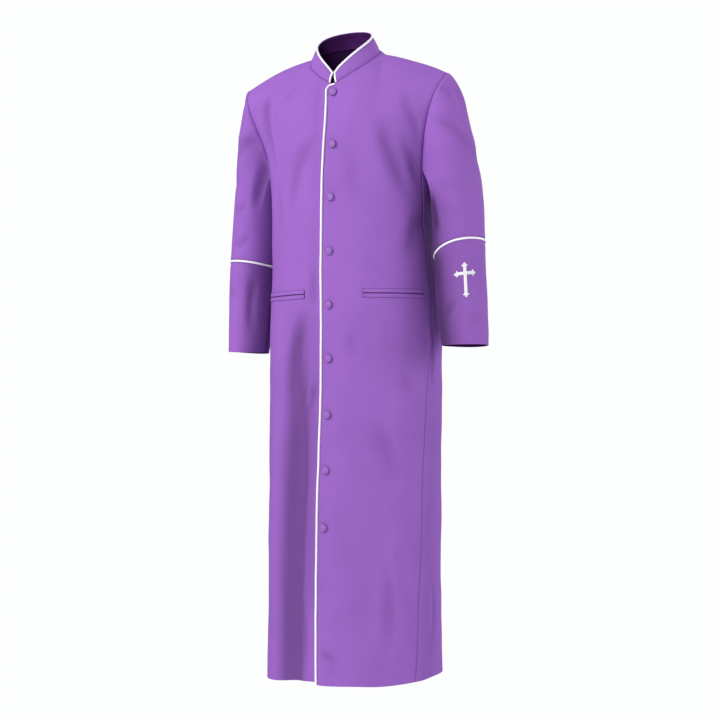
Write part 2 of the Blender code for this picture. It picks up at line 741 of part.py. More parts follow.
def sew(panels):
    """Lines up the walls of neighbouring panels along their seams, and leaves the seams' gap.
    Three rounds bring the corners, where three pieces meet, to one direction."""
    yoke_steps = len(YOKE_ROWS) - 1
    back_panel = panels["back"].normals
    middle = NECK_COLUMNS + SHOULDER_COLUMNS
    for _ in range(3):
        for name, toward in (("left", 1), ("right", -1)):
            front_panel = panels[f"front_{name}"].normals
            side_normals = panels[f"side_{name}"].normals
            head = panels[f"sleeve_{name}"].normals[0]
            half_back = back_panel[:, middle:] if toward > 0 else back_panel[:, middle::-1]
            join_normals(front_panel[0, NECK_COLUMNS:], half_back[0, NECK_COLUMNS:])
            join_normals(front_panel[yoke_steps:, -1], side_normals[:, 0])
            join_normals(half_back[yoke_steps:, -1], side_normals[:, -1])
            join_normals(head[0], head[-1])
            join_normals(head[: yoke_steps + 1], front_panel[: yoke_steps + 1, -1])
            join_normals(head[yoke_steps : yoke_steps + SIDE_COLUMNS + 1], side_normals[0])
            join_normals(head[yoke_steps + SIDE_COLUMNS :][::-1], half_back[: yoke_steps + 1, -1])
            join_normals(panels[f"sleeve_{name}"].normals[-1], panels[f"cuff_{name}"].normals[0])
    for panel in panels.values():
        panel.trim()


# What is sewn on to the panels.


def across_share(panel, down, width, end=1):
    """The share of a panel's row that a real width takes, at one of its edges."""
    row = np.array([panel.at(u, down) for u in panel.across])
    run = np.append(0, np.cumsum(np.linalg.norm(np.diff(row, axis=0), axis=1)))
    at = width if end > 0 else run[-1] - width
    return float(np.interp(at, run, panel.across))


def down_share(panel, share, start, length):
    """The place on a column of a panel a real length below another."""
    line = np.linspace(panel.down[0], panel.down[-1], 400)
    column = panel.at(np.full_like(line, share), line)
    run = np.append(0, np.cumsum(np.linalg.norm(np.diff(column, axis=0), axis=1)))
    return float(np.interp(np.interp(start, line, run) + length, run, line))


def round_profile(height):
    """The heights across a piping: rounded over, from edge to edge."""
    return [height * share for share in PIPING_PROFILE]


def front_piping(panel, material):
    """White piping up the left front's edge and round its top corner to the collar."""
    stops = panel.down[::-1]
    corner = down_share(panel, 0.0, 0.0, NOTCH_RADIUS)
    outer, inner = [], []
    for v in (v for v in stops if v > corner):
        outer.append((0.0, v))
        inner.append((across_share(panel, v, PIPING_WIDE), v))
    last = panel.across[1]
    for k in range(NOTCH_STEPS + 1):
        a = math.radians(90 * k / NOTCH_STEPS)
        for line, inset in ((outer, 0.0), (inner, PIPING_WIDE)):
            radius = NOTCH_RADIUS - inset
            right = across_share(panel, 0.0, NOTCH_RADIUS - radius * math.cos(a))
            line.append((right, down_share(panel, right, 0.0, NOTCH_RADIUS - radius * math.sin(a))))
    outer.append((last, 0.0))
    inner.append((last, down_share(panel, last, 0.0, PIPING_WIDE)))
    laid_strip("front_piping", panel, outer, inner, round_profile(PIPING_THICK), material)


def collar_piping(panel, material):
    """White piping up the collar's left end, round its upper edge and down its right end."""
    rise = float(np.linalg.norm(panel.points[-1, 0] - panel.points[0, 0]))
    inset = PIPING_WIDE / rise
    ends = [across_share(panel, 0.5, PIPING_WIDE), across_share(panel, 0.5, PIPING_WIDE, -1)]
    first, last = panel.across[0], panel.across[-1]
    inner_top = 1 - inset
    outer = [(first, v) for v in panel.down]
    inner = [(ends[0], min(v, inner_top)) for v in panel.down]
    for angle in panel.across[1:-1]:
        if ends[0] < angle < ends[1]:
            tall = np.linalg.norm(panel.at(angle, 1.0) - panel.at(angle, 0.0))
            outer.append((angle, 1.0))
            inner.append((angle, 1 - PIPING_WIDE / tall))
    outer += [(last, v) for v in panel.down[::-1]]
    inner += [(ends[1], min(v, inner_top)) for v in panel.down[::-1]]
    laid_strip("collar_piping", panel, outer, inner, round_profile(PIPING_THICK), material)


def sleeve_piping(name, panel, material):
    """A white ring of piping where a cuff meets its sleeve."""
    outer = [(u, 0.0) for u in panel.across]
    inner = [(u, down_share(panel, u, 0.0, PIPING_WIDE)) for u in panel.across]
    laid_strip(name, panel, outer, inner, round_profile(PIPING_THICK), material, closed=True)


def pocket_welts(name, panel, pocket, material):
    """The two welts of a slit pocket, above and below its mouth."""
    start = panel.find(pocket["side"] * pocket["inner_x"], pocket["inner_z"])
    end = panel.find(pocket["side"] * pocket["outer_x"], pocket["outer_z"])
    stops = [start[0]] + [u for u in panel.across if start[0] < u < end[0]] + [end[0]]
    for part, sign in (("upper", -1), ("lower", 1)):
        near, far = [], []
        for u in stops:
            v = start[1] + (end[1] - start[1]) * (u - start[0]) / (end[0] - start[0])
            near.append((u, down_share(panel, u, v, sign * MOUTH / 2)))
            far.append((u, down_share(panel, u, v, sign * (MOUTH / 2 + WELT_HIGH))))
        heights = [WELT_THICK * share for share in WELT_PROFILE]
        laid_strip(f"pocket_{name}_{part}_welt", panel, near, far, heights, material)


def cross_outline():
    """A Latin cross with spade-shaped ends, as points to the right and down of its middle."""
    bar, end = CROSS_BAR / 2, CROSS_END / 2
    reaches = (CROSS_ARMS_DOWN, CROSS_WIDE / 2, CROSS_TALL - CROSS_ARMS_DOWN, CROSS_WIDE / 2)
    points = []
    for quarter, reach in enumerate(reaches):
        cos, sin = ((1, 0), (0, 1), (-1, 0), (0, -1))[quarter]
        half_tip = [(bar, reach - CROSS_NECK_IN * end)]
        half_tip += [(half * end, reach - inward * end) for half, inward in CROSS_TIP]
        left = [(-across, out) for across, out in half_tip]
        for across, out in [(-bar, bar), *left, (0.0, reach), *half_tip[::-1]]:
            points.append((across * cos + out * sin, across * sin - out * cos))
    return points


def sleeve_cross(panel, material):
    """The cross embroidered on the left cuff, raised from its facets."""
    bm = bmesh.new()
    outline = [bm.verts.new((x, y, 0.0)) for x, y in cross_outline()]
    bm.faces.new(outline)
    line = np.linspace(0, 1, 200)
    heights = panel.at(CROSS_TURN, line)[:, 2]
    middle = float(np.interp(CROSS_ARMS_DOWN - CROSS_TOP_Z, -heights, line))
    row = np.array([panel.at(u, middle) for u in panel.across])
    run = np.append(0, np.cumsum(np.linalg.norm(np.diff(row, axis=0), axis=1)))
    centre = np.interp(CROSS_TURN, panel.across, run)
    cuts = [((centre - column, 0, 0), (1, 0, 0)) for column in run]
    for v in panel.down:
        drop = np.linalg.norm(panel.at(CROSS_TURN, v) - panel.at(CROSS_TURN, middle))
        cuts.append(((0, math.copysign(drop, v - middle), 0), (0, 1, 0)))
    for place_on_line, across_line in cuts:
        bmesh.ops.bisect_plane(
            bm,
            geom=bm.verts[:] + bm.edges[:] + bm.faces[:],
            plane_co=place_on_line,
            plane_no=across_line,
            dist=1e-6,
        )
    bmesh.ops.triangulate(bm, faces=bm.faces[:])
    wall = bmesh.ops.extrude_face_region(bm, geom=bm.faces[:], use_keep_orig=True)
    lifted = {item for item in wall["geom"] if isinstance(item, bmesh.types.BMVert)}
    for vert in bm.verts:
        u = float(np.interp(centre - vert.co.x, run, panel.across))
        v = down_share(panel, u, middle, vert.co.y)
        vert.co = panel.at(u, v, LAID_GAP + (CROSS_THICK if vert in lifted else 0.0))
    bmesh.ops.recalc_face_normals(bm, faces=bm.faces[:])
    mesh = bpy.data.meshes.new("sleeve_cross")
    bm.to_mesh(mesh)
    bm.free()
    place("sleeve_cross", mesh, material)


def button_mesh():
    """A covered button turned from its profile: a low dome on a short shank."""
    bm = bmesh.new()
    line = [bm.verts.new((share * BUTTON_RADIUS, 0.0, z)) for share, z in BUTTON_PROFILE]
    edges = [bm.edges.new(pair) for pair in zip(line, line[1:])]
    bmesh.ops.spin(
        bm,
        geom=line + edges,
        cent=(0, 0, 0),
        axis=(0, 0, 1),
        angle=2 * math.pi,
        steps=BUTTON_STEPS,
        use_merge=True,
    )
    bmesh.ops.remove_doubles(bm, verts=bm.verts[:], dist=1e-6)
    bmesh.ops.recalc_face_normals(bm, faces=bm.faces[:])
    mesh = bpy.data.meshes.new("button")
    bm.to_mesh(mesh)
    bm.free()
    return mesh


def buttons(panel, material):
    """Nine covered buttons down the centre front, each flat on the cloth where it is sewn."""
    mesh = button_mesh()
    for number, (x, z) in enumerate(BUTTONS):
        u, v = panel.find(x, z)
        centre, lifted = (Vector(panel.at(u, v, height)) for height in (0.0, 1.0))
        turn = (lifted - centre).to_track_quat("Z", "Y").to_matrix().to_4x4()
        button = place(f"button_{number + 1}", mesh.copy(), material)
        button.data.transform(Matrix.Translation(centre) @ turn)


for old in list(bpy.data.objects):
    bpy.data.objects.remove(old, do_unlink=True)

robe = bpy.data.collections.new("priest_robe")
bpy.context.scene.collection.children.link(robe)
purple = finish("purple_cloth", (0.310, 0.130, 0.520), 0.62)
covered = finish("covered_button", (0.280, 0.115, 0.470), 0.55)
white = finish("white_piping", (0.840, 0.830, 0.850), 0.55)
thread = finish("white_embroidery", (0.860, 0.850, 0.850), 0.50)

panels = cut_panels()
sew(panels)
for name, panel in panels.items():
    cloth_wall(name, panel, purple)
front_piping(panels["front_left"], white)
collar_piping(panels["collar"], white)
sleeve_piping("sleeve_piping_left", panels["cuff_left"], white)
sleeve_piping("sleeve_piping_right", panels["cuff_right"], white)
for row in POCKETS:
    pocket = dict(zip(POCKET_COLUMNS, row))
    name = "left" if pocket["side"] == LEFT else "right"
    pocket_welts(name, panels[f"front_{name}"], pocket, purple)
sleeve_cross(panels["cuff_left"], thread)
buttons(panels["front_left"], covered)
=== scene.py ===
"""The looks of a full-length clergy robe: purple suiting, white piping, covered buttons.

The robe's surfaces are the same functions of the same sizes as its solids, drawn finer, with
the cloth's drags, seam lines and dents round the buttons added.
"""

import math

import bmesh
import bpy
import numpy as np
from mathutils import Matrix, Vector


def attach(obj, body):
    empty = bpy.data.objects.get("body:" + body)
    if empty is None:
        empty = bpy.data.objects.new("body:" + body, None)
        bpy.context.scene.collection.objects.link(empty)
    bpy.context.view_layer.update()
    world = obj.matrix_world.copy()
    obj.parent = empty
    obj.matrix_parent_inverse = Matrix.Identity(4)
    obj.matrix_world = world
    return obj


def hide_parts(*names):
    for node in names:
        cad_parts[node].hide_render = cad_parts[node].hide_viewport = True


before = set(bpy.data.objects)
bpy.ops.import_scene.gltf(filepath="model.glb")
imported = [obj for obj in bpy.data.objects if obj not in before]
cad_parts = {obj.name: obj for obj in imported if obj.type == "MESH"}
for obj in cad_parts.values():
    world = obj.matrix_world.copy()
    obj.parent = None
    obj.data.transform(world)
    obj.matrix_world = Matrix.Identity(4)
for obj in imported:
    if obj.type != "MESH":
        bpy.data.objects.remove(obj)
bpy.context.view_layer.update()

FRONT = -1
BACK = 1
LEFT = 1
RIGHT = -1

# Driving dimensions.
CLOTH = 0.0016  # the suiting with its interlining
LAID_GAP = 0.0004  # between a piece and the panel that it lies on
CHEST_Z = -0.270  # the yoke's columns end here and the skirt's rings begin
ARMPIT_DROP = 0.036  # how far the armhole dips below the chest line
ARMPIT_ROUND = 0.8
HEM_Z = -1.4195  # its middle height: see HEM
OVERLAP = 0.0172  # each front runs this far past the centre front
UNDERLAP_DROP = 0.0030  # the right front lies this far behind the left one, where they lap
UNDERLAP_X = (-0.046, -0.024)  # and comes forward to its own line between these
UNDERLAP_HEM_RISE = 0.0070
UNDERLAP_HEM_SHARE = 0.5  # which fades out over this share of the front
DIRECTION_STEP = 0.01  # how far along a surface its own direction is looked for
NOTCH_RADIUS = 0.0110  # at the top corner of each front

# The robe's rings, from the chest to the hem: half width, front and back depth from the
# shoulder line, and the depth at which the ring is widest.
RING_COLUMNS = ("z", "half_width", "front", "back", "widest_y")
RINGS = (
    (-0.180, 0.2000, 0.0840, 0.136, 0.026),
    (-0.270, 0.1980, 0.0880, 0.148, 0.032),
    (-0.360, 0.1930, 0.0920, 0.157, 0.037),
    (-0.450, 0.1940, 0.0950, 0.163, 0.041),
    (-0.650, 0.2030, 0.0952, 0.172, 0.047),
    (-0.790, 0.2025, 0.0970, 0.177, 0.048),
    (-0.900, 0.2005, 0.1070, 0.180, 0.046),
    (-1.040, 0.2000, 0.1165, 0.183, 0.044),
    (-1.240, 0.1990, 0.1205, 0.187, 0.042),
    (-1.440, 0.2000, 0.1210, 0.190, 0.042),
)
RING_POWER = (2.15, 2.60)  # how square the rings are in front and behind

# Where the side panels are sewn in, as angles from the centre front.
SEAM_COLUMNS = ("z", "front_seam", "back_seam")
SEAMS = (
    (-0.270, 80.0, 107.0),
    (-0.400, 84.0, 109.0),
    (-0.560, 86.5, 110.0),
    (-0.680, 83.0, 112.0),
    (-0.790, 80.0, 113.0),
    (-0.900, 77.8, 114.0),
    (-1.100, 76.3, 116.0),
    (-1.440, 69.5, 119.0),
)

# The hem's own height, by the angle from the centre front.
HEM_COLUMNS = ("angle", "z")
HEM = (
    (-180.0, -1.4150),
    (-140.0, -1.4210),
    (-100.0, -1.4310),
    (-60.0, -1.4313),
    (-42.0, -1.4272),
    (-28.0, -1.4226),
    (0.0, -1.4228),
    (25.0, -1.4214),
    (50.0, -1.4200),
    (67.0, -1.4162),
    (87.0, -1.4165),
    (110.0, -1.4148),
    (145.0, -1.4110),
    (180.0, -1.4150),
)

# Soft folds that run down the skirt. Angles are degrees from the centre front, positive to
# the wearer's left. A fold grows from its top to its full height lower down.
FOLD_COLUMNS = ("angle", "lean", "half_width", "top", "full", "height")
FOLDS = (
    (-53.0, 0.0, 11.0, -0.42, -1.05, 0.0014),
    (-24.5, -7.0, 11.0, -0.45, -1.05, -0.0110),
    (30.0, 6.0, 14.0, -0.60, -1.20, -0.0022),
    (60.0, 2.0, 9.0, -0.55, -1.00, 0.0038),
    (90.0, -4.0, 10.0, -0.60, -1.10, -0.0040),
    (112.0, 4.0, 11.0, -0.40, -0.90, 0.0060),
    (138.0, -3.0, 12.0, -0.45, -1.05, -0.0080),
    (163.0, 2.0, 11.0, -0.50, -1.10, 0.0065),
    (-172.0, 3.0, 12.0, -0.40, -1.00, -0.0075),
    (-147.0, -2.0, 12.0, -0.50, -1.05, 0.0065),
    (-122.0, 3.0, 11.0, -0.45, -1.10, -0.0060),
    (-95.0, -2.0, 10.0, -0.60, -1.20, 0.0035),
)

# The neck: the seam where the collar is sewn on, and the collar's upper edge.
NECK_SEAM = dict(half_width=0.0825, front=0.0640, back=0.064, high=0.0295, low=-0.0735, power=1.1)
NECK_RIM = dict(half_width=0.0625, front=0.0590, back=0.050, high=0.0630, low=-0.0485, power=0.85)
SIDE_NECK_ANGLE = 96.0
COLLAR_BULGE = 0.0015
COLLAR_OPEN = (0.0058, 0.0008)  # half of the gap between its ends, at the seam and at the rim

LAP_FALL = 0.0060  # the fronts' lapped corners lie this far below the collar's ends
LAP_FORWARD = 0.0045  # and the left one this far in front of them
SHOULDER_TIP = (0.2505, 0.002, -0.0620)
SHOULDER_ARCH = 0.0085
HITCH = 0.0068  # the left shoulder stands this much higher than the right one
HITCH_X = (0.150, 0.250)  # from the neck's side of it to its tip
HITCH_HIGH = 0.15

# Where the cloth of the yoke heads from its top edge, by its share of that edge: these points
# are a third of the way down each column, and the columns leave the seams towards them.
YOKE_COLUMNS = ("share", "x", "y", "z")
YOKE_FRONT = (
    (0.00, -0.0085, -0.0850, -0.1480),
    (0.06, 0.0055, -0.0852, -0.1500),
    (0.12, 0.0235, -0.0850, -0.1450),
    (0.22, 0.0680, -0.0830, -0.1100),
    (0.36, 0.1200, -0.0710, -0.0740),
    (0.43, 0.1340, -0.0660, -0.0620),
    (0.70, 0.1780, -0.0710, -0.0720),
    (1.00, 0.2385, -0.0700, -0.1140),
)
YOKE_BACK = (
    (0.00, 0.0000, 0.1180, -0.0180),
    (0.22, 0.0700, 0.1090, -0.0120),
    (0.36, 0.1160, 0.0830, -0.0060),
    (0.43, 0.1310, 0.0700, -0.0060),
    (0.70, 0.1770, 0.0850, -0.0400),
    (1.00, 0.2360, 0.0780, -0.1080),
)
FAN = 0.11  # the columns spread from the neck towards the sides, by this share
YOKE_HANG = 0.42  # how far up the yoke the body's own line is held

# The arms: the middle of each sleeve and its half widths, across the body and front to back.
ARM_COLUMNS = ("z", "x", "y", "across", "deep")
ARM_LEFT = (
    (-0.345, 0.2627, 0.035, 0.0592, 0.0640),
    (-0.430, 0.2668, 0.035, 0.0582, 0.0630),
    (-0.500, 0.2739, 0.030, 0.0562, 0.0610),
    (-0.560, 0.2807, 0.022, 0.0555, 0.0600),
    (-0.610, 0.2884, 0.012, 0.0534, 0.0580),
    (-0.670, 0.2955, 0.001, 0.0495, 0.0560),
)
ARM_RIGHT = (
    (-0.345, 0.2535, 0.044, 0.0515, 0.0620),
    (-0.430, 0.2590, 0.045, 0.0535, 0.0620),
    (-0.500, 0.2620, 0.040, 0.0520, 0.0610),
    (-0.560, 0.2610, 0.034, 0.0510, 0.0590),
    (-0.610, 0.2600, 0.026, 0.0500, 0.0580),
    (-0.690, 0.2612, 0.016, 0.0452, 0.0560),
)
SLEEVE_HEAD_Z = -0.345
FRONT_TURN = 0.38  # the front's part of the armhole ends here, and the side panel's begins
BACK_TURN = 0.62  # the side panel's part ends here, and the back's begins
HEAD_FULLNESS = {LEFT: 0.145, RIGHT: 0.105}  # how far each sleeve head holds its first direction
HEAD_HANG = 0.36  # and its last one

# Which way the sleeve leaves the armhole, by its turn from the shoulder tip round the front.
HEAD_COLUMNS = ("turn", "out", "forward", "up")
HEAD = (
    (0.00, 0.97, 0.00, -0.24),
    (0.12, 0.84, 0.10, -0.50),
    (0.25, 0.74, 0.34, -0.56),
    (0.40, 0.80, 0.26, -0.54),
    (0.50, 0.80, 0.00, -0.60),
    (0.60, 0.80, -0.26, -0.54),
    (0.75, 0.80, -0.48, -0.36),
    (0.88, 0.93, -0.25, -0.28),
    (1.00, 0.97, 0.00, -0.24),
)

# The height of each sleeve's piping, and of its cuff's edge: the side and the line, then the
# height in front, outside, behind and inside.
CUFFS = (
    (1, "piping", -0.4345, -0.4255, -0.4460, -0.4680),
    (1, "edge", -0.6630, -0.6630, -0.6680, -0.6660),
    (-1, "piping", -0.4620, -0.4640, -0.4720, -0.4740),
    (-1, "edge", -0.6790, -0.6780, -0.6820, -0.6800),
)

# Slit pockets: the inner and the outer end of each mouth, in front view.
POCKET_COLUMNS = ("side", "inner_x", "inner_z", "outer_x", "outer_z")
POCKETS = (
    (1, 0.0845, -0.5475, 0.1930, -0.5490),
    (-1, 0.0580, -0.5485, 0.1830, -0.5520),
)
WELT_HIGH = 0.0088
MOUTH = 0.0026  # the open line between the two welts

PIPING_WIDE = 0.0050
PIPING_THICK = 0.0024
NOTCH_STEPS = 12

# The embroidered cross on the left cuff.
CROSS_TALL = 0.078
CROSS_WIDE = 0.0495
CROSS_BAR = 0.0072
CROSS_END = 0.0146  # the width of its spade-shaped ends
CROSS_NECK_IN = 1.25
CROSS_ARMS_DOWN = 0.024  # from the top to the middle of its arms
CROSS_THICK = 0.0012
CROSS_TURN = 0.163  # round the sleeve from its outer line to the front
CROSS_TOP_Z = -0.4815

BUTTON_RADIUS = 0.0095
# Where each one is sewn on, x and z in front view. Their line drifts as the edge does.
BUTTONS = (
    (0.0027, -0.0925),
    (0.0091, -0.2115),
    (0.0074, -0.3312),
    (0.0057, -0.4520),
    (0.0047, -0.5723),
    (0.0038, -0.6932),
    (0.0035, -0.8194),
    (0.0045, -0.9438),
    (0.0028, -1.0706),
)

# The top edge's lines are shared out between neck and shoulder, and the yoke's rows lie here.
NECK_COLUMNS = 6
SHOULDER_COLUMNS = 8
YOKE_ROWS = (0.0, 0.012, 0.034, 0.070, 0.135, 0.230, 0.350, 0.490, 0.650, 0.820, 1.0)


def eased(x):
    x = np.clip(x, 0.0, 1.0)
    return x * x * (3 - 2 * x)


def rows_of(table, columns):
    """A table's rows, each with its columns by name."""
    return [dict(zip(columns, row)) for row in table]


def read(table, columns, name, at):
    """A table's named column as a smooth curve through its rows, by its first column."""
    rows = np.array(table, float)
    keys, values = rows[:, 0], rows[:, columns.index(name)]
    if keys[0] > keys[-1]:
        keys, values = keys[::-1], values[::-1]
    slopes = np.gradient(values, keys)
    at = np.clip(at, keys[0], keys[-1])
    i = np.clip(np.searchsorted(keys, at) - 1, 0, len(keys) - 2)
    step = keys[i + 1] - keys[i]
    t = (at - keys[i]) / step
    return (
        values[i] * (1 + 2 * t) * (1 - t) ** 2
        + slopes[i] * step * t * (1 - t) ** 2
        + values[i + 1] * t * t * (3 - 2 * t)
        + slopes[i + 1] * step * t * t * (t - 1)
    )


def matched(*values):
    """The values as arrays of one shape."""
    return np.broadcast_arrays(*(np.asarray(value, float) for value in values))


def unit(v):
    return v / np.maximum(np.linalg.norm(v, axis=-1, keepdims=True), 1e-12)


def stacked(x, y, z):
    return np.stack(np.broadcast_arrays(x, y, z), axis=-1)


def bezier(p0, p1, p2, p3, t):
    t = t[..., None]
    return p0 * (1 - t) ** 3 + 3 * p1 * t * (1 - t) ** 2 + 3 * p2 * t * t * (1 - t) + p3 * t**3


# The body's outer face.


def folded(angle, z):
    """How far the skirt's folds stand out of its rings, at an angle in degrees."""
    out = np.zeros(np.broadcast(angle, z).shape)
    for fold in rows_of(FOLDS, FOLD_COLUMNS):
        grown = eased((fold["top"] - z) / (fold["top"] - fold["full"]))
        middle = fold["angle"] + fold["lean"] * (z - fold["top"]) / (HEM_Z - fold["top"])
        off = (angle - middle + 180.0) % 360.0 - 180.0
        out = out + fold["height"] * grown * np.exp(-((off / fold["half_width"]) ** 2))
    return out


def ring(angle, z):
    """A point of the body below the chest, by its angle in degrees and its height."""
    angle, z = matched(angle, z)
    s, c = np.sin(np.radians(angle)), np.cos(np.radians(angle))
    middle = read(RINGS, RING_COLUMNS, "widest_y", z)
    front_deep = read(RINGS, RING_COLUMNS, "front", z) + middle
    back_deep = read(RINGS, RING_COLUMNS, "back", z) - middle
    wide = read(RINGS, RING_COLUMNS, "half_width", z)
    deep = np.where(c > 0, front_deep, back_deep)
    power = np.where(c > 0, *RING_POWER)
    r = ((np.abs(s) / wide) ** power + (np.abs(c) / deep) ** power) ** (-1 / power)
    r = r + folded(angle, z)
    return stacked(r * s, middle - r * c, z)


def hem_height(angle):
    return read(HEM, HEM_COLUMNS, "z", angle)


def neck_point(edge, angle):
    """A point of the neck seam or of the collar's rim, by its angle in degrees."""
    a = np.radians(angle)
    deep = np.where(np.cos(a) > 0, edge["front"], edge["back"])
    rise = np.abs(np.sin(a / 2)) ** edge["power"]
    z = edge["low"] + (edge["high"] - edge["low"]) * rise
    return stacked(edge["half_width"] * np.sin(a), -deep * np.cos(a), z)


def neck_angle(edge, x):
    return math.degrees(math.asin(x / edge["half_width"]))


FIRST_NECK_ANGLE = -neck_angle(NECK_SEAM, OVERLAP)
COLLAR_END_ANGLE = neck_angle(NECK_SEAM, COLLAR_OPEN[0])
NECK_SHARE = NECK_COLUMNS / (NECK_COLUMNS + SHOULDER_COLUMNS)


def shoulder_point(share):
    """A point of the left shoulder seam, from the side neck point to the shoulder tip."""
    share = np.asarray(share, float)[..., None]
    start, end = neck_point(NECK_SEAM, SIDE_NECK_ANGLE), np.array(SHOULDER_TIP)
    arch = SHOULDER_ARCH * np.sin(math.pi * share) * np.array([0.0, 0.0, 1.0])
    return start + (end - start) * share + arch


def top_edge(share, first_angle, lap_forward):
    """The upper edge of a left-hand panel: its part of the neck seam, then the shoulder."""
    on_neck = np.clip(share / NECK_SHARE, 0, 1)
    angle = first_angle + (SIDE_NECK_ANGLE - first_angle) * on_neck
    neck = neck_point(NECK_SEAM, np.maximum(angle, COLLAR_END_ANGLE))
    lapped = np.clip(COLLAR_END_ANGLE - angle, 0, None) / (COLLAR_END_ANGLE - FIRST_NECK_ANGLE)
    lap = stacked((OVERLAP + COLLAR_OPEN[0]) * lapped, lap_forward * lapped, LAP_FALL * lapped)
    neck = neck - lap
    on_shoulder = np.clip((share - NECK_SHARE) / (1 - NECK_SHARE), 0, 1)
    return np.where((share <= NECK_SHARE)[..., None], neck, shoulder_point(on_shoulder))


def fanned(share):
    return share + FAN * np.sin(math.pi * share)


def yoke(side, facing, share, down, neck_start, ring_start, ring_end):
    """A point above the chest: a column of cloth from the top edge down to the first ring."""
    lap_forward = LAP_FORWARD if side == LEFT else 0.0
    top = top_edge(share, neck_start, lap_forward) * np.array([side, 1.0, 1.0])
    table = YOKE_BACK if facing == BACK else YOKE_FRONT
    x, y, z = (read(table, YOKE_COLUMNS, n, share) for n in YOKE_COLUMNS[1:])
    angle = side * (ring_start + (ring_end - ring_start) * fanned(share))
    low = ring(angle, CHEST_Z)
    arrive = unit(ring(angle, CHEST_Z - DIRECTION_STEP) - low)
    reach = np.linalg.norm(low - top, axis=-1, keepdims=True)
    return bezier(top, stacked(side * x, y, z), low - arrive * reach * YOKE_HANG, low, down)


def hitched(point):
    """Lifts what lies towards the left shoulder."""
    x, z = point[..., 0], point[..., 2]
    start, end = HITCH_X
    lift = HITCH * eased((x - start) / (end - start)) * eased((z - CHEST_Z) / HITCH_HIGH)
    return point + stacked(0.0, 0.0, lift)


def seam_angle(name, z):
    return read(SEAMS, SEAM_COLUMNS, name, z)


def edge_angle(z):
    """The ring angle of the fronts' edges, OVERLAP past the centre front."""
    deep = read(RINGS, RING_COLUMNS, "front", z) + read(RINGS, RING_COLUMNS, "widest_y", z)
    return np.degrees(np.arctan2(OVERLAP, deep))


def skirt(start, end, share, fall, top):
    """A point below the chest, between two seams whose angles change with the height."""
    z = top
    for _ in range(4):
        angle = start(z) + (end(z) - start(z)) * share
        z = top + (hem_height(angle) - top) * fall
    return ring(angle, z)


def front(side, share, down):
    """A front's outer face. share runs from its edge to its side; down is 0 at the top edge,
    1 at the chest and 2 at the hem."""
    share, down = matched(share, down)
    above = hitched(
        yoke(
            side,
            FRONT,
            share,
            np.clip(down, 0, 1),
            FIRST_NECK_ANGLE,
            -edge_angle(CHEST_Z),
            seam_angle("front_seam", CHEST_Z),
        )
    )
    below = skirt(
        lambda z: -side * edge_angle(z),
        lambda z: side * seam_angle("front_seam", z),
        fanned(share),
        np.clip(down - 1, 0, 1),
        CHEST_Z,
    )
    point = np.where((down < 1)[..., None], above, below)
    if side == RIGHT:
        lapped = eased((point[..., 0] - UNDERLAP_X[0]) / (UNDERLAP_X[1] - UNDERLAP_X[0]))
        point[..., 1] += UNDERLAP_DROP * lapped
        point[..., 2] += UNDERLAP_HEM_RISE * eased(1 - share / UNDERLAP_HEM_SHARE) * eased(down - 1)
    return point


def back(share, down):
    """The back's outer face. share runs from -1 at the right side to 1 at the left."""
    share, down = matched(share, down)
    side = np.where(share < 0, -1.0, 1.0)
    half = np.abs(share)
    above = yoke(
        1.0, BACK, half, np.clip(down, 0, 1), 180.0, 180.0, seam_angle("back_seam", CHEST_Z)
    )
    above[..., 0] *= side
    above = hitched(above)
    below = skirt(
        lambda z: side * 180.0,
        lambda z: side * seam_angle("back_seam", z),
        fanned(half),
        np.clip(down - 1, 0, 1),
        CHEST_Z,
    )
    return np.where((down < 1)[..., None], above, below)


def side_panel(side, share, down):
    """A side panel's outer face. share runs from its front seam to its back seam; down is 1
    at its top edge, which dips to the armpit, and 2 at the hem."""
    share, down = matched(share, down)
    top = CHEST_Z - ARMPIT_DROP * np.sin(math.pi * np.clip(share, 0, 1)) ** ARMPIT_ROUND
    return skirt(
        lambda z: side * seam_angle("front_seam", z),
        lambda z: side * seam_angle("back_seam", z),
        share,
        down - 1,
        top,
    )


# The sleeves' outer faces.


def armhole(side, turn):
    """A point of the armhole: down the front, under the arm and up the back."""
    turn = np.asarray(turn, float) % 1.0
    rows = np.array(YOKE_ROWS)
    along = np.linspace(0, 1, len(rows))
    on_front = np.interp(np.clip(turn / FRONT_TURN, 0, 1), along, rows)
    on_side = np.clip((turn - FRONT_TURN) / (BACK_TURN - FRONT_TURN), 0, 1)
    on_back = np.interp(np.clip((1 - turn) / (1 - BACK_TURN), 0, 1), along, rows)
    down_front = front(side, np.ones_like(turn), on_front)
    under_arm = side_panel(side, on_side, 1.0)
    up_back = back(side * np.ones_like(turn), on_back)
    point = np.where((turn < FRONT_TURN)[..., None], down_front, under_arm)
    return np.where((turn > BACK_TURN)[..., None], up_back, point)


def arm(side, turn, z):
    """A point of the hanging sleeve, by its turn from the outer side to the front."""
    table = ARM_LEFT if side == LEFT else ARM_RIGHT
    x, y, across, deep = (read(table, ARM_COLUMNS, n, z) for n in ARM_COLUMNS[1:])
    a = 2 * math.pi * turn
    return stacked(side * (x + across * np.cos(a)), y - deep * np.sin(a), z)


def round_height(side, turn, line):
    """A height that changes round the sleeve, from its values on the four sides."""
    row = next(row for row in CUFFS if row[:2] == (side, line))
    front_z, outer_z, back_z, inner_z = row[2:]
    a = 2 * math.pi * turn
    middle = (front_z + outer_z + back_z + inner_z) / 4
    twice = (front_z + back_z - outer_z - inner_z) / 4
    return (
        middle
        + (outer_z - inner_z) / 2 * np.cos(a)
        + (front_z - back_z) / 2 * np.sin(a)
        - twice * np.cos(2 * a)
    )


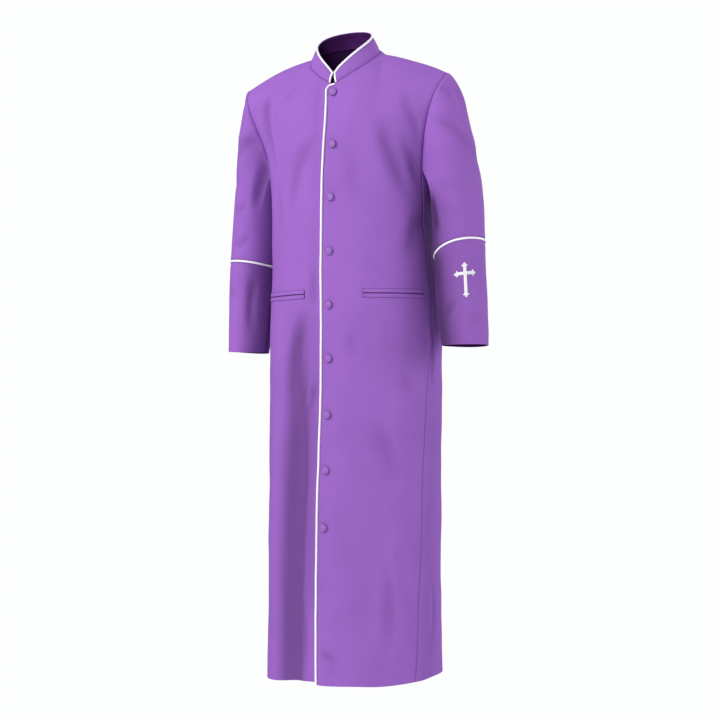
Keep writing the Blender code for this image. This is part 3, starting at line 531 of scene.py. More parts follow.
def sleeve(side, turn, down):
    """The upper sleeve's outer face: down is 0 at the armhole, 1 below it, 2 at the piping."""
    turn, down = matched(turn, down)
    start = armhole(side, turn)
    out, forward, up = (read(HEAD, HEAD_COLUMNS, n, turn % 1.0) for n in HEAD_COLUMNS[1:])
    leave = unit(stacked(out * side, -forward, up))
    end = arm(side, turn, SLEEVE_HEAD_Z)
    arrive = unit(arm(side, turn, SLEEVE_HEAD_Z - DIRECTION_STEP) - end)
    reach = np.linalg.norm(end - start, axis=-1, keepdims=True)
    first, last = reach * HEAD_FULLNESS[side], reach * HEAD_HANG
    head = bezier(start, start + leave * first, end - arrive * last, end, np.clip(down, 0, 1))
    seam_z = round_height(side, turn, "piping")
    hanging = arm(side, turn, SLEEVE_HEAD_Z + (seam_z - SLEEVE_HEAD_Z) * np.clip(down - 1, 0, 1))
    return np.where((down < 1)[..., None], head, hanging)


def cuff(side, turn, down):
    """The deep cuff's outer face: down is 0 at the piping and 1 at the wrist."""
    seam_z = round_height(side, turn, "piping")
    edge_z = round_height(side, turn, "edge")
    return arm(side, turn, seam_z + (edge_z - seam_z) * down)


def collar(angle, up):
    """The collar's outer face, by its angle round the neck seam and its share of the height."""
    rim_end = neck_angle(NECK_RIM, COLLAR_OPEN[1])
    rim_angle = 180 + (angle - 180) * (180 - rim_end) / (180 - COLLAR_END_ANGLE)
    low, high = neck_point(NECK_SEAM, angle), neck_point(NECK_RIM, rim_angle)
    a = np.radians(angle)
    bulge = COLLAR_BULGE * np.sin(math.pi * up)
    up = np.asarray(up, float)[..., None]
    return low + (high - low) * up + stacked(bulge * np.sin(a), -bulge * np.cos(a), 0.0 * a)


# What the looks add to the solids' sizes.
INSIDE = 1  # the material slot of a wall's inner side
SIDE_LINE_Y = 0.040  # the body's side lines run down here
UNDER_ARM_TURN = 0.5  # each sleeve is closed by a seam under the arm
ARM_ROUND = 0.36  # and measures this round it
COLLAR_SEAM_PALE = 0.0011  # its seam shows less than the others
PIPING_SHADOW_PAST = 0.0008  # painted shadow: a dark line this far past the piping
BUTTON_RIM_SHADE = 0.85  # how much of the seams' dark colour a button's rim takes as painted shade
BUTTON_RIM_FROM = 0.80  # it begins at this share of the radius, and grows over that one
BUTTON_RIM_OVER = 0.16
BUTTON_VALLEY = 0.60  # where the dome meets its ring, by the radius
BUTTON_VALLEY_WIDE = 0.09
BUTTON_VALLEY_SHADE = 0.45  # painted shade in the groove where the dome meets its ring, as a share of the rim's
COLLAR_END_SHARE = (
    (COLLAR_END_ANGLE - FIRST_NECK_ANGLE) / (SIDE_NECK_ANGLE - FIRST_NECK_ANGLE) * NECK_SHARE
)
MOUTH_SHUT = 0.0010  # the pocket mouths close by this at their ends
MOUTH_WAVE = 0.00025
MOUTH_WAVES = 9
MOUTH_EDGE = 3  # its edge of painted shade is this many times narrower than a seam
WELT_COLUMNS = 40
# Across a welt, from the middle of the mouth: a share of the half-open mouth, a share of the
# welt beyond it, and the height.
WELT_ROWS = (
    (0.00, 0.00, 0.0001),
    (0.85, 0.00, 0.0001),
    (1.00, 0.00, 0.0011),
    (1.00, 0.08, 0.0015),
    (1.00, 0.25, 0.0015),
    (1.00, 0.50, 0.0013),
    (1.00, 0.75, 0.0012),
    (1.00, 0.92, 0.0009),
    (1.00, 1.00, 0.0002),
)
PIPING_ROWS = 9
PIPING_TOP_STEPS = 4  # from the rounded corner to the collar
PIPING_FLAT = 0.25  # the height of its edges, as a share of its middle's
CROSS_GRAIN = 0.0013
CROSS_RIM_HIGH = 0.45  # the height of its edges, as a share of its middle's
# Its lobed ends, from the neck to the point: half widths and how far in, both as shares of
# half of an end's width.
CROSS_LOBES = (
    (0.62, 1.12),
    (0.84, 1.16),
    (0.99, 1.06),
    (1.00, 0.88),
    (0.86, 0.72),
    (0.60, 0.62),
    (0.42, 0.50),
    (0.40, 0.30),
    (0.30, 0.10),
    (0.14, 0.01),
)
# A covered button from its middle to its foot: a share of the radius, and the height.
BUTTON_FINE_PROFILE = (
    (0.00, 0.0053),
    (0.20, 0.00525),
    (0.40, 0.0050),
    (0.56, 0.0046),
    (0.66, 0.0042),
    (0.72, 0.0041),
    (0.79, 0.0046),
    (0.87, 0.0049),
    (0.94, 0.0045),
    (0.99, 0.0037),
    (1.00, 0.0029),
    (0.98, 0.0021),
    (0.90, 0.0014),
    (0.34, 0.0012),
    (0.34, 0.0002),
    (0.00, 0.0002),
)
BUTTON_SPIN_STEPS = 44
BUTTON_PLEAT = 0.00012  # the height of the pleats under its rim
BUTTON_PLEATS = 16
BUTTON_PLEAT_TOP = 0.0040  # below this, and from this share of the radius over that one
BUTTON_PLEAT_FROM = 0.8
BUTTON_PLEAT_OVER = 0.2
BUTTON_LEAN = 0.045
BUTTON_LEAN_TURNS = (2.4, 3.7)  # what keeps one button's lean from being like the next one's

TWILL_STEP = 0.0016
PURPLE = (0.284, 0.116, 0.476)
PURPLE_SHADE = (0.252, 0.100, 0.428)
# Dark seam lines, the painted shadow beside each piping, and the painted shade of the buttons' rims
# and grooves.
SEAM_AND_SHADOW_PURPLE = (0.120, 0.045, 0.215)
# The colour of the painted shade in folds and in the shade bands.
PAINTED_SHADE_PURPLE = (0.070, 0.028, 0.118)
# Dark seam lines on the welts, and the painted shade at the pocket mouths.
WELT_SEAM_AND_MOUTH_SHADE = (0.050, 0.018, 0.090)
HOLLOW_SHADE = 0.47  # how much of the painted shade colour the deepest folds take
# The inside faces: the suiting's duller wrong side, darkened further as painted shade inside the
# neck.
INSIDE_SHADED_PURPLE = (0.058, 0.014, 0.100)
INSIDE_SHADE = (0.046, 0.011, 0.082)
WHITE = (0.912, 0.912, 0.922)
WHITE_SHADE = (0.842, 0.832, 0.875)
THREAD_WHITE = (0.93, 0.93, 0.94)
THREAD_SHADE = (0.84, 0.83, 0.87)

# The cloth that each piece was cut from: width, length and area in metres.
CUT_COLUMNS = ("name", "width", "length", "area")
CUTS = (
    ("back", 0.585, 1.475, 0.591),
    ("collar", 0.498, 0.043, 0.017),
    ("front_left", 0.336, 1.452, 0.361),
    ("front_right", 0.340, 1.457, 0.364),
    ("side_left", 0.174, 1.152, 0.136),
    ("side_right", 0.174, 1.168, 0.139),
    ("sleeve_left", 0.615, 0.391, 0.117),
    ("sleeve_right", 0.603, 0.418, 0.113),
    ("cuff_left", 0.382, 0.242, 0.081),
    ("cuff_right", 0.358, 0.220, 0.073),
)

# The cloth's own unevenness, laid over those surfaces, and its painted shade.

FOLD_SAMPLES = 14  # how many short straight lines follow a drag
DRAG_END = 2.6  # each end of a drag fades out over its length divided by this
LIP_OFF = 1.7  # a lip lies this many half widths beside its drag

# Where a drag's face gives way to the next: the sine or cosine of the turn, and over how much
# of it.
FACE_FROM = 0.10
FACE_OVER = 0.25
SIDE_FROM = 0.70
SIDE_OVER = 0.20

# Drags on each face of the body: three places that the drag runs through in a curve, its
# half width, its depth and its lip. A place is the distance across the face (x in front and
# behind, y at the sides) and the height. A depth below zero is a trough, and a lip raises
# one side of it or the other.
BODY_DRAGS = {
    "front": (
        # from the left armpit up over the chest
        (0.112, -0.146, 0.142, -0.238, 0.188, -0.365, 0.0160, -0.0076, 0.4),
        (0.166, -0.185, 0.176, -0.250, 0.192, -0.310, 0.0095, -0.0035, 0.0),
        (0.180, -0.220, 0.190, -0.275, 0.200, -0.345, 0.0100, -0.0044, 0.4),
        (0.160, -0.090, 0.184, -0.145, 0.206, -0.220, 0.0120, -0.0042, 0.3),
        (0.198, -0.345, 0.182, -0.405, 0.172, -0.480, 0.0120, -0.0055, 0.4),
        # down from the right shoulder, beside the armhole
        (-0.166, -0.078, -0.178, -0.146, -0.152, -0.280, 0.0105, -0.0088, -0.4),
        (-0.082, -0.062, -0.108, -0.084, -0.145, -0.118, 0.0085, -0.0029, 0.4),
        (-0.150, -0.280, -0.140, -0.350, -0.128, -0.420, 0.0130, -0.0032, 0.0),
        # across the right front, from the edge down to its long trough
        (-0.008, -0.196, -0.076, -0.250, -0.098, -0.400, 0.0150, -0.0066, 0.3),
        (-0.034, -0.470, -0.032, -0.530, -0.036, -0.590, 0.0100, -0.0051, 0.0),
        (-0.048, -0.572, -0.092, -0.700, -0.088, -0.850, 0.0150, -0.0093, 0.4),
        (-0.094, -0.500, -0.086, -1.150, -0.116, -2.000, 0.0350, -0.0150, 0.0),
        (-0.028, -0.640, -0.032, -0.980, -0.036, -1.440, 0.0150, -0.0030, 0.0),
        (-0.088, -0.800, -0.070, -0.930, -0.068, -1.120, 0.0170, -0.0048, 0.0),
        (-0.034, -0.735, -0.036, -0.780, -0.056, -0.822, 0.0075, -0.0048, 0.6),
        (-0.142, -0.560, -0.146, -0.800, -0.141, -1.020, 0.0150, 0.0035, 0.0),
        (-0.052, -1.230, -0.046, -1.320, -0.050, -1.410, 0.0110, -0.0035, 0.0),
        # on the left front, below the pocket
        (0.064, -0.625, 0.062, -0.660, 0.070, -0.700, 0.0120, -0.0032, 0.0),
        (0.096, -0.820, 0.146, -0.910, 0.178, -1.010, 0.0230, -0.0058, -0.4),
        (0.168, -0.715, 0.172, -0.750, 0.178, -0.785, 0.0090, -0.0042, 0.0),
        (0.146, -1.130, 0.149, -1.250, 0.143, -1.365, 0.0150, -0.0050, 0.3),
        (0.160, -1.095, 0.171, -1.165, 0.181, -1.235, 0.0085, -0.0045, 0.5),
        (-0.004, -1.340, 0.019, -1.362, 0.046, -1.374, 0.0120, -0.0058, 0.3),
        (-0.004, -1.397, 0.034, -1.402, 0.094, -1.394, 0.0065, -0.0026, 0.0),
        (0.040, -0.960, 0.052, -1.080, 0.048, -1.200, 0.0180, -0.0022, 0.0),
        (0.036, -0.190, 0.060, -0.270, 0.064, -0.380, 0.0170, -0.0022, 0.0),
    ),
    "left": (
        (0.075, -0.460, 0.075, -0.590, 0.075, -0.735, 0.0450, 0.0058, 0.0),
        (0.030, -1.150, 0.060, -1.270, 0.024, -1.375, 0.0085, -0.0048, 0.5),
        (0.022, -0.585, 0.036, -0.680, 0.032, -0.800, 0.0070, -0.0051, 0.6),
        (0.070, -0.420, 0.064, -0.520, 0.074, -0.640, 0.0090, -0.0042, 0.4),
    ),
    "right": (
        (0.036, -1.120, 0.058, -1.240, 0.040, -1.380, 0.0090, -0.0048, 0.5),
        (0.030, -0.560, 0.040, -0.680, 0.030, -0.820, 0.0080, -0.0051, 0.5),
        (0.064, -0.380, 0.060, -0.480, 0.072, -0.600, 0.0090, -0.0038, 0.4),
    ),
    "back": (
        # from the armpits to the shoulder blades, and down from the waist
        (0.190, -0.235, 0.150, -0.220, 0.086, -0.175, 0.0115, -0.0054, 0.4),
        (0.186, -0.290, 0.150, -0.300, 0.100, -0.340, 0.0130, -0.0051, -0.4),
        (0.176, -0.130, 0.158, -0.180, 0.164, -0.262, 0.0095, -0.0048, 0.4),
        (-0.188, -0.228, -0.142, -0.206, -0.078, -0.190, 0.0120, -0.0051, -0.4),
        (-0.184, -0.300, -0.152, -0.326, -0.110, -0.390, 0.0120, -0.0058, 0.4),
        (-0.178, -0.120, -0.162, -0.170, -0.166, -0.240, 0.0090, -0.0045, -0.4),
        (-0.058, -0.070, 0.000, -0.092, 0.056, -0.068, 0.0130, -0.0029, 0.3),
        (0.070, -0.420, 0.084, -0.560, 0.078, -0.720, 0.0160, -0.0054, 0.4),
        (-0.062, -0.450, -0.070, -0.600, -0.066, -0.790, 0.0170, -0.0058, -0.4),
        (0.006, -0.520, 0.014, -0.700, 0.004, -0.900, 0.0160, -0.0038, 0.3),
        (0.120, -0.960, 0.112, -1.120, 0.122, -1.290, 0.0120, -0.0048, 0.4),
        (-0.116, -0.900, -0.126, -1.080, -0.118, -1.260, 0.0125, -0.0048, -0.4),
        (0.034, -1.240, 0.042, -1.320, 0.036, -1.420, 0.0100, -0.0042, 0.4),
        (-0.040, -1.180, -0.034, -1.290, -0.042, -1.400, 0.0110, -0.0038, 0.0),
    ),
}

# The same on the sleeves and cuffs, by the turn from the outer side to the front. A drag over
# the outer side, where the turns begin again, stands here twice, one turn apart.
SLEEVE_DRAGS = {
    "left": (
        (0.300, -0.160, 0.160, -0.186, 0.010, -0.252, 0.0130, -0.0054, 0.5),
        (0.220, -0.086, 0.150, -0.096, 0.100, -0.122, 0.0115, -0.0035, 0.0),
        (0.120, -0.105, 0.076, -0.140, 0.040, -0.178, 0.0100, 0.0029, 0.0),
        (0.330, -0.286, 0.250, -0.310, 0.130, -0.318, 0.0110, -0.0024, 0.5),
        (0.300, -0.352, 0.220, -0.372, 0.120, -0.364, 0.0110, -0.0018, 0.4),
        (0.405, -0.320, 0.370, -0.370, 0.320, -0.430, 0.0150, -0.0056, 0.3),
        (0.320, -0.610, 0.270, -0.580, 0.200, -0.566, 0.0085, -0.0035, 0.4),
        (0.160, -0.640, 0.100, -0.606, 0.030, -0.600, 0.0100, -0.0026, 0.0),
        (0.760, -0.190, 0.860, -0.215, 0.960, -0.270, 0.0125, -0.0064, -0.4),
        (0.680, -0.300, 0.800, -0.325, 0.900, -0.318, 0.0110, -0.0054, 0.4),
        (0.640, -0.390, 0.740, -0.402, 0.850, -0.388, 0.0110, -0.0054, 0.4),
        (0.620, -0.470, 0.720, -0.500, 0.820, -0.496, 0.0100, -0.0048, 0.4),
        (0.700, -0.600, 0.800, -0.585, 0.900, -0.600, 0.0110, -0.0035, 0.0),
        (0.430, -0.450, 0.430, -0.580, 0.430, -0.700, 0.0300, 0.0042, 0.0),
        (0.930, -0.100, 0.930, -0.205, 0.930, -0.310, 0.0420, -0.0052, 0.0),
        (-0.070, -0.100, -0.070, -0.205, -0.070, -0.310, 0.0420, -0.0052, 0.0),
    ),
    "right": (
        (0.070, -0.050, 0.070, -0.110, 0.070, -0.180, 0.0400, -0.0056, 0.0),
        (1.070, -0.050, 1.070, -0.110, 1.070, -0.180, 0.0400, -0.0056, 0.0),
        (0.330, -0.170, 0.225, -0.200, 0.080, -0.196, 0.0140, -0.0061, 0.5),
        (0.370, -0.205, 0.356, -0.275, 0.330, -0.360, 0.0105, -0.0064, 0.4),
        (0.280, -0.322, 0.210, -0.345, 0.100, -0.332, 0.0100, -0.0042, 0.4),
        (0.200, -0.262, 0.130, -0.280, 0.050, -0.270, 0.0095, -0.0032, 0.0),
        (0.320, -0.400, 0.240, -0.424, 0.140, -0.420, 0.0095, -0.0042, 0.4),
        (0.370, -0.490, 0.335, -0.560, 0.350, -0.650, 0.0120, -0.0048, 0.4),
        (0.240, -0.560, 0.170, -0.540, 0.090, -0.548, 0.0100, -0.0032, 0.0),
        (0.740, -0.200, 0.840, -0.232, 0.950, -0.290, 0.0120, -0.0061, 0.4),
        (0.660, -0.330, 0.770, -0.350, 0.880, -0.338, 0.0110, -0.0054, -0.4),
        (0.620, -0.420, 0.730, -0.440, 0.840, -0.425, 0.0110, -0.0051, 0.4),
        (0.640, -0.560, 0.760, -0.540, 0.880, -0.556, 0.0110, -0.0038, 0.0),
    ),
}

# Painted shade: dark bands, each from one turn and height down to another, where a sleeve and the
# body keep the light off each other, and down the right front's trough and beside its edge. The
# body's turns are in degrees and a sleeve's are shares of one.
SHADE_COLUMNS = ("piece", "top_turn", "top_z", "low_turn", "low_z", "half_width", "dark")
SHADES = (
    ("body", 73.0, -0.205, 98.0, -0.700, 9.0, 0.36),
    ("body", 99.0, -0.205, 104.0, -0.700, 15.0, 0.54),
    ("body", -98.0, -0.215, -98.0, -0.700, 14.0, 0.35),
    ("body", -30.0, -0.560, -34.0, -2.000, 13.0, 0.17),
    ("body", -8.0, -0.600, -9.0, -1.300, 7.0, 0.10),
    ("sleeve_left", 0.39, -0.285, 0.37, -0.560, 0.110, 0.90),
    ("sleeve_left", 0.20, -0.150, 0.06, -0.240, 0.035, 0.06),
    ("cuff_left", 0.40, -0.400, 0.35, -0.760, 0.120, 1.00),
    ("cuff_left", 0.24, -0.340, 0.24, -0.760, 0.100, 0.12),
    ("sleeve_right", 0.36, -0.150, 0.47, -0.560, 0.085, 0.30),
    ("cuff_right", 0.45, -0.340, 0.45, -0.780, 0.100, 0.60),
    ("cuff_right", 0.33, -0.340, 0.33, -0.780, 0.070, 0.24),
)
SHADE_FADE = 0.08  # over this height it comes and goes

# Slow waves that keep any stretch of cloth from lying quite flat: which way each runs, its
# length and its height.
WAVE_COLUMNS = ("x", "y", "z", "length", "start", "height")
WAVES = (
    (1.0, 0.3, 0.25, 0.135, 0.4, 0.00042),
    (0.6, -0.5, 1.0, 0.190, 1.9, 0.00048),
    (-0.8, 0.4, 0.7, 0.104, 3.1, 0.00030),
    (0.5, 1.0, -0.4, 0.121, 5.2, 0.00036),
    (0.9, 0.2, -1.0, 0.071, 2.6, 0.00018),
    (-0.4, 0.9, 1.0, 0.056, 4.4, 0.00012),
)
HEM_FLUTTER = 0.0016
HEM_FLUTTER_WAVES = 10.1  # for each radian round the body
HEM_FLUTTER_LEAN = 4.0  # and for each metre up it
HEM_FLUTTER_REACH = 0.20  # it begins this far above the hem
HOLLOW_DEEP = 0.0140  # a fold this deep is in full shade

SEAM_SINK = 0.0010  # a pressed seam lies this far in
SEAM_HALF_WIDTH = 0.0024
SEAM_ROLL = 0.0004  # and the cloth rolls up this far beside it
SEAM_ROLL_AT = 0.0075
HEM_LINE = (0.0270, 0.0090, 0.0008)  # the hem's turn-up: how far up it ends, how wide, how high
BUTTON_DENT = 0.0011
BUTTON_DENT_WIDE = 0.0170
BUTTON_DENT_SHAPE = (0.8, 1.0, 1.3)  # it is wider than it is tall
COLLAR_WAVES = 0.3  # the stiff collar has this much of the slow waves

# The shares of a panel over which its cloth begins to move, away from what it must meet.
ARMHOLE_STILL = 0.12
CHEST_STILL = 0.09
TOP_STILL = 0.07
SLEEVE_STILL = 0.16

# How many lines each stretch of the cloth is drawn with. The seams take a few close lines of
# their own, at these shares, and the even ones keep clear of them.
EDGE_SHARES = (0.006, 0.016, 0.032)
EDGE_CLEAR = 1.4
FINE = dict(
    neck=18, shoulder=30, side=20, yoke=46, skirt=132, head=26, tube=18, cuff=26, collar=14
)
MERGE = 1e-6  # places closer than this are one


def shade(name, turn, z):
    """How much painted shade a piece takes at places given by a turn and a height, 0 to 1."""
    dark = 0.0 * z
    for band in rows_of(SHADES, SHADE_COLUMNS):
        if band["piece"] == name:
            below, above = band["top_z"] - z, z - band["low_z"]
            fall = np.clip(below / (band["top_z"] - band["low_z"]), 0, 1)
            middle = band["top_turn"] + (band["low_turn"] - band["top_turn"]) * fall
            near = np.exp(-(((turn - middle) / band["half_width"]) ** 2))
            ends = eased(below / SHADE_FADE) * eased(above / SHADE_FADE)
            dark = dark + band["dark"] * near * ends
    return dark


def drag(across, height, path, half_width, depth, lip):
    """How far one drag moves the cloth at places given by a distance across and a height."""
    ends = np.array(path, float).reshape(3, 2)
    bend = 2 * ends[1] - (ends[0] + ends[2]) / 2
    t = np.linspace(0, 1, FOLD_SAMPLES + 1)[:, None]
    line = ends[0] * (1 - t) ** 2 + 2 * bend * t * (1 - t) + ends[2] * t * t
    nearest = np.full(across.shape, 9.0)
    share, beside = np.zeros(across.shape), np.zeros(across.shape)
    for k, (a, b) in enumerate(zip(line, line[1:])):
        run = b - a
        x, z = across - a[0], height - a[1]
        along = np.clip((x * run[0] + z * run[1]) / (run @ run), 0, 1)
        off = np.hypot(x - along * run[0], z - along * run[1])
        closer = off < nearest
        nearest = np.where(closer, off, nearest)
        share = np.where(closer, (k + along) / FOLD_SAMPLES, share)
        beside = np.where(closer, np.sign(x * run[1] - z * run[0]) * off, beside)
    ends_fade = eased(share * DRAG_END) * eased((1 - share) * DRAG_END)
    trough = np.exp(-((nearest / half_width) ** 2))
    raised = abs(lip) * np.exp(-(((beside * np.sign(lip) - LIP_OFF * half_width) / half_width) ** 2))
    return depth * ends_fade * (trough - (raised if lip else 0.0))


def waves(points):
    out = np.zeros(points.shape[:-1])
    for wave in rows_of(WAVES, WAVE_COLUMNS):
        way = unit(np.array([wave["x"], wave["y"], wave["z"]]))
        out += wave["height"] * np.sin(points @ way * 2 * math.pi / wave["length"] + wave["start"])
    return out


def body_drags(turn, points):
    """How far the drags move the body's cloth, by where on the robe it is."""
    x, y, z = points[..., 0], points[..., 1], points[..., 2]
    faces = {
        "front": (x, eased((np.cos(turn) + FACE_FROM) / FACE_OVER)),
        "back": (x, eased((FACE_FROM - np.cos(turn)) / FACE_OVER)),
        "left": (y, eased((np.sin(turn) - SIDE_FROM) / SIDE_OVER)),
        "right": (y, eased((-np.sin(turn) - SIDE_FROM) / SIDE_OVER)),
    }
    out = np.zeros(z.shape)
    for face, (across, here) in faces.items():
        for *path, half_width, depth, lip in BODY_DRAGS[face]:
            out += here * drag(across, z, path, half_width, depth, lip)
    return out


def hem_flutter(turn, z):
    low = eased((HEM_Z + HEM_FLUTTER_REACH - z) / HEM_FLUTTER_REACH)
    return HEM_FLUTTER * low * np.sin(HEM_FLUTTER_WAVES * turn + HEM_FLUTTER_LEAN * z)


def sleeve_drags(name, turn, points):
    """The same on a sleeve or a cuff, with the turn taken as a distance round it."""
    out = np.zeros(turn.shape)
    for *path, half_width, depth, lip in SLEEVE_DRAGS[name]:
        scaled = [value * (1 if k % 2 else ARM_ROUND) for k, value in enumerate(path)]
        out += drag(turn * ARM_ROUND, points[..., 2], scaled, half_width, depth, lip)
    return out


# Cut pieces of cloth, and the walls made from them.

NORMAL_STEP = 1e-3  # between the places that a direction is worked out from
ENDLESS = (-9.0, 9.0)  # a closed panel's turn has no ends
FAR_FROM_SEAM = 0.06  # beyond this it makes no difference how far
FIND_ROUNDS = 12
COLUMN_SAMPLES = 900
SHARP = 38  # degrees between two faces whose edge stays sharp, and on the smaller pieces
STRIP_SHARP = 60
CROSS_SHARP = 70
BUTTON_SHARP = 50
BODY_CORE_Y = 0.03
BODY_CORE_DROP = 0.03
BODY_CORE_TOP = -0.20


def run_along(points, axis=0):
    """How far each place is along its line of places, in metres."""
    steps = np.linalg.norm(np.diff(points, axis=axis), axis=-1)
    return np.insert(np.cumsum(steps, axis=axis), 0, 0.0, axis=axis)


class Panel:
    """A cut piece of cloth as a grid of places on the robe, with the direction away from it."""

    def __init__(self, surface, across, down, core, closed=False):
        self.across, self.down, self.closed = np.array(across), np.array(down), closed
        u, v = np.meshgrid(self.across, self.down)
        self.points = surface(u, v)
        step = NORMAL_STEP
        low, high = ENDLESS if closed else (self.across[0], self.across[-1])
        along_u = surface(np.minimum(u + step, high), v) - surface(np.maximum(u - step, low), v)
        top, bottom = self.down[0], self.down[-1]
        along_v = surface(u, np.minimum(v + step, bottom)) - surface(u, np.maximum(v - step, top))
        self.normals = unit(np.cross(along_v, along_u))
        if np.sum(self.normals * (self.points - core(self.points))) < 0:
            self.normals = -self.normals

    def runs(self):
        """How far each place is across its row and down its column, in metres."""
        return run_along(self.points, axis=1), run_along(self.points)

    def dark_line_gap(self, sewn):
        """How far each place is from the nearest of the edges that are sewn."""
        across, down = self.runs()
        gaps = dict(
            first=across, last=across[:, -1:] - across, top=down, bottom=down[-1:] - down
        )
        return np.minimum(np.min([gaps[edge] for edge in sewn], axis=0), FAR_FROM_SEAM)

    def mixed(self, grid, u, v):
        """A grid's value between its own lines."""
        i = np.clip(np.searchsorted(self.across, u) - 1, 0, len(self.across) - 2)
        j = np.clip(np.searchsorted(self.down, v) - 1, 0, len(self.down) - 2)
        s = ((u - self.across[i]) / (self.across[i + 1] - self.across[i]))[..., None]
        t = ((v - self.down[j]) / (self.down[j + 1] - self.down[j]))[..., None]
        upper = grid[j, i] * (1 - s) + grid[j, i + 1] * s
        lower = grid[j + 1, i] * (1 - s) + grid[j + 1, i + 1] * s
        return upper * (1 - t) + lower * t

    def at(self, u, v, height=0.0):
        """A place over the cloth, and lifted off it."""
        u, v = matched(u, v)
        lift = np.asarray(height, float)[..., None]
        return self.mixed(self.points, u, v) + unit(self.mixed(self.normals, u, v)) * lift

    def find(self, x, z):
        """The place on a front where x and z are as given."""
        u, v = 0.5, 1.5
        for _ in range(FIND_ROUNDS):
            row = self.at(self.across, v)[:, 0]
            order = np.argsort(row)
            u = float(np.interp(x, row[order], self.across[order]))
            v = float(np.interp(-z, -self.at(u, self.down)[:, 2], self.down))
        return u, v

    def across_share(self, down, width, from_end=False):
        """The share of a row that a real width takes, from one of its ends."""
        run = run_along(self.at(self.across, down))
        return float(np.interp(run[-1] - width if from_end else width, run, self.across))

    def down_share(self, share, start, length):
        """The place on a column a real length below another."""
        line = np.linspace(self.down[0], self.down[-1], COLUMN_SAMPLES)
        run = run_along(self.at(share, line))
        return float(np.interp(np.interp(start, line, run) + length, run, line))


def join_normals(*edges):
    """Gives pieces that share a seam the same outward direction along it."""
    shared = unit(sum(edges))
    for edge in edges:
        edge[...] = shared


def wall(name, outer, inner, spread, marks, closed=False):
    """A closed wall of cloth between two grids of places. spread is each place's spot on the flat
    cloth, in metres, which becomes its UV. marks are grids of numbers that its finish reads: how far
    each place is from a dark seam line or a line of painted shadow, and how much painted shade it
    takes from the depth of its fold and from the shade bands."""
    rows, columns = outer.shape[:2]
    bm = bmesh.new()
    number = bm.verts.layers.int.new("number")
    layers = {mark: bm.verts.layers.float.new(mark) for mark in marks}
    flat = bm.loops.layers.uv.new("cut")
    bmesh.ops.create_grid(bm, x_segments=columns - 1, y_segments=rows - 1, size=0.5)
    for vert in bm.verts:
        i = round((vert.co.x + 0.5) * (columns - 1))
        j = round((vert.co.y + 0.5) * (rows - 1))
        vert[number] = j * columns + i
        for mark, layer in layers.items():
            vert[layer] = marks[mark][j, i]
        vert.co = outer[j, i]
    for face in bm.faces:
        for loop in face.loops:
            loop[flat].uv = spread[divmod(loop.vert[number], columns)]
    if closed:
        bmesh.ops.remove_doubles(bm, verts=bm.verts[:], dist=MERGE)
    shell = bmesh.ops.extrude_face_region(bm, geom=bm.faces[:], use_keep_orig=True)
    for item in shell["geom"]:
        if isinstance(item, bmesh.types.BMVert):
            item.co = inner[divmod(item[number], columns)]
        elif isinstance(item, bmesh.types.BMFace):
            item.material_index = INSIDE
    for face in bm.faces:
        face.smooth = True
    bmesh.ops.recalc_face_normals(bm, faces=bm.faces[:])
    return finished_mesh(name, bm)


def finished_mesh(name, bm):
    mesh = bpy.data.meshes.new(name)
    bm.to_mesh(mesh)
    bm.free()
    return mesh


def piece(name, mesh, node, materials, sharp=SHARP):
    """Puts a finished piece on the robe in place of its plain solid."""
    for material in materials:
        mesh.materials.append(material)
    mesh.shade_smooth()
    mesh.set_sharp_from_angle(angle=math.radians(sharp))
    obj = bpy.data.objects.new(name, mesh)
    bpy.context.scene.collection.objects.link(obj)
    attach(obj, "root")
    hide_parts(node)
    return obj


def body_core(points):
    """The body's middle, a little below each place of a panel."""
    low = np.minimum(points[..., 2] - BODY_CORE_DROP, BODY_CORE_TOP)
    return stacked(0.0, BODY_CORE_Y, low)


def arm_core(side):
    """The same for a sleeve, level with each place."""
    table = ARM_LEFT if side == LEFT else ARM_RIGHT

    def core(points):
        z = np.minimum(points[..., 2], SLEEVE_HEAD_Z)
        x, y = (read(table, ARM_COLUMNS, n, z) for n in ("x", "y"))
        return stacked(side * x, y, points[..., 2])

    return core


def with_edges(inner_lines, first=True, last=True):
    """Shares from 0 to 1, closer together beside the edges that are sewn."""
    shares = np.linspace(0, 1, inner_lines + 1)
    clear = EDGE_SHARES[-1] * EDGE_CLEAR
    shares = shares[(shares > clear) & (shares < 1 - clear)]
    lower = EDGE_SHARES if first else ()
    upper = [1 - share for share in EDGE_SHARES[::-1]] if last else ()
    return np.concatenate([[0.0], lower, shares, upper, [1.0]])


NECK_LINES = NECK_SHARE * with_edges(FINE["neck"], last=False)
NECK_LINES = np.unique(np.append(NECK_LINES, COLLAR_END_SHARE))
SIDE_LINES = with_edges(FINE["side"])
YOKE_STEPS = with_edges(FINE["yoke"])  # the sleeve head's lines meet the yoke's rows


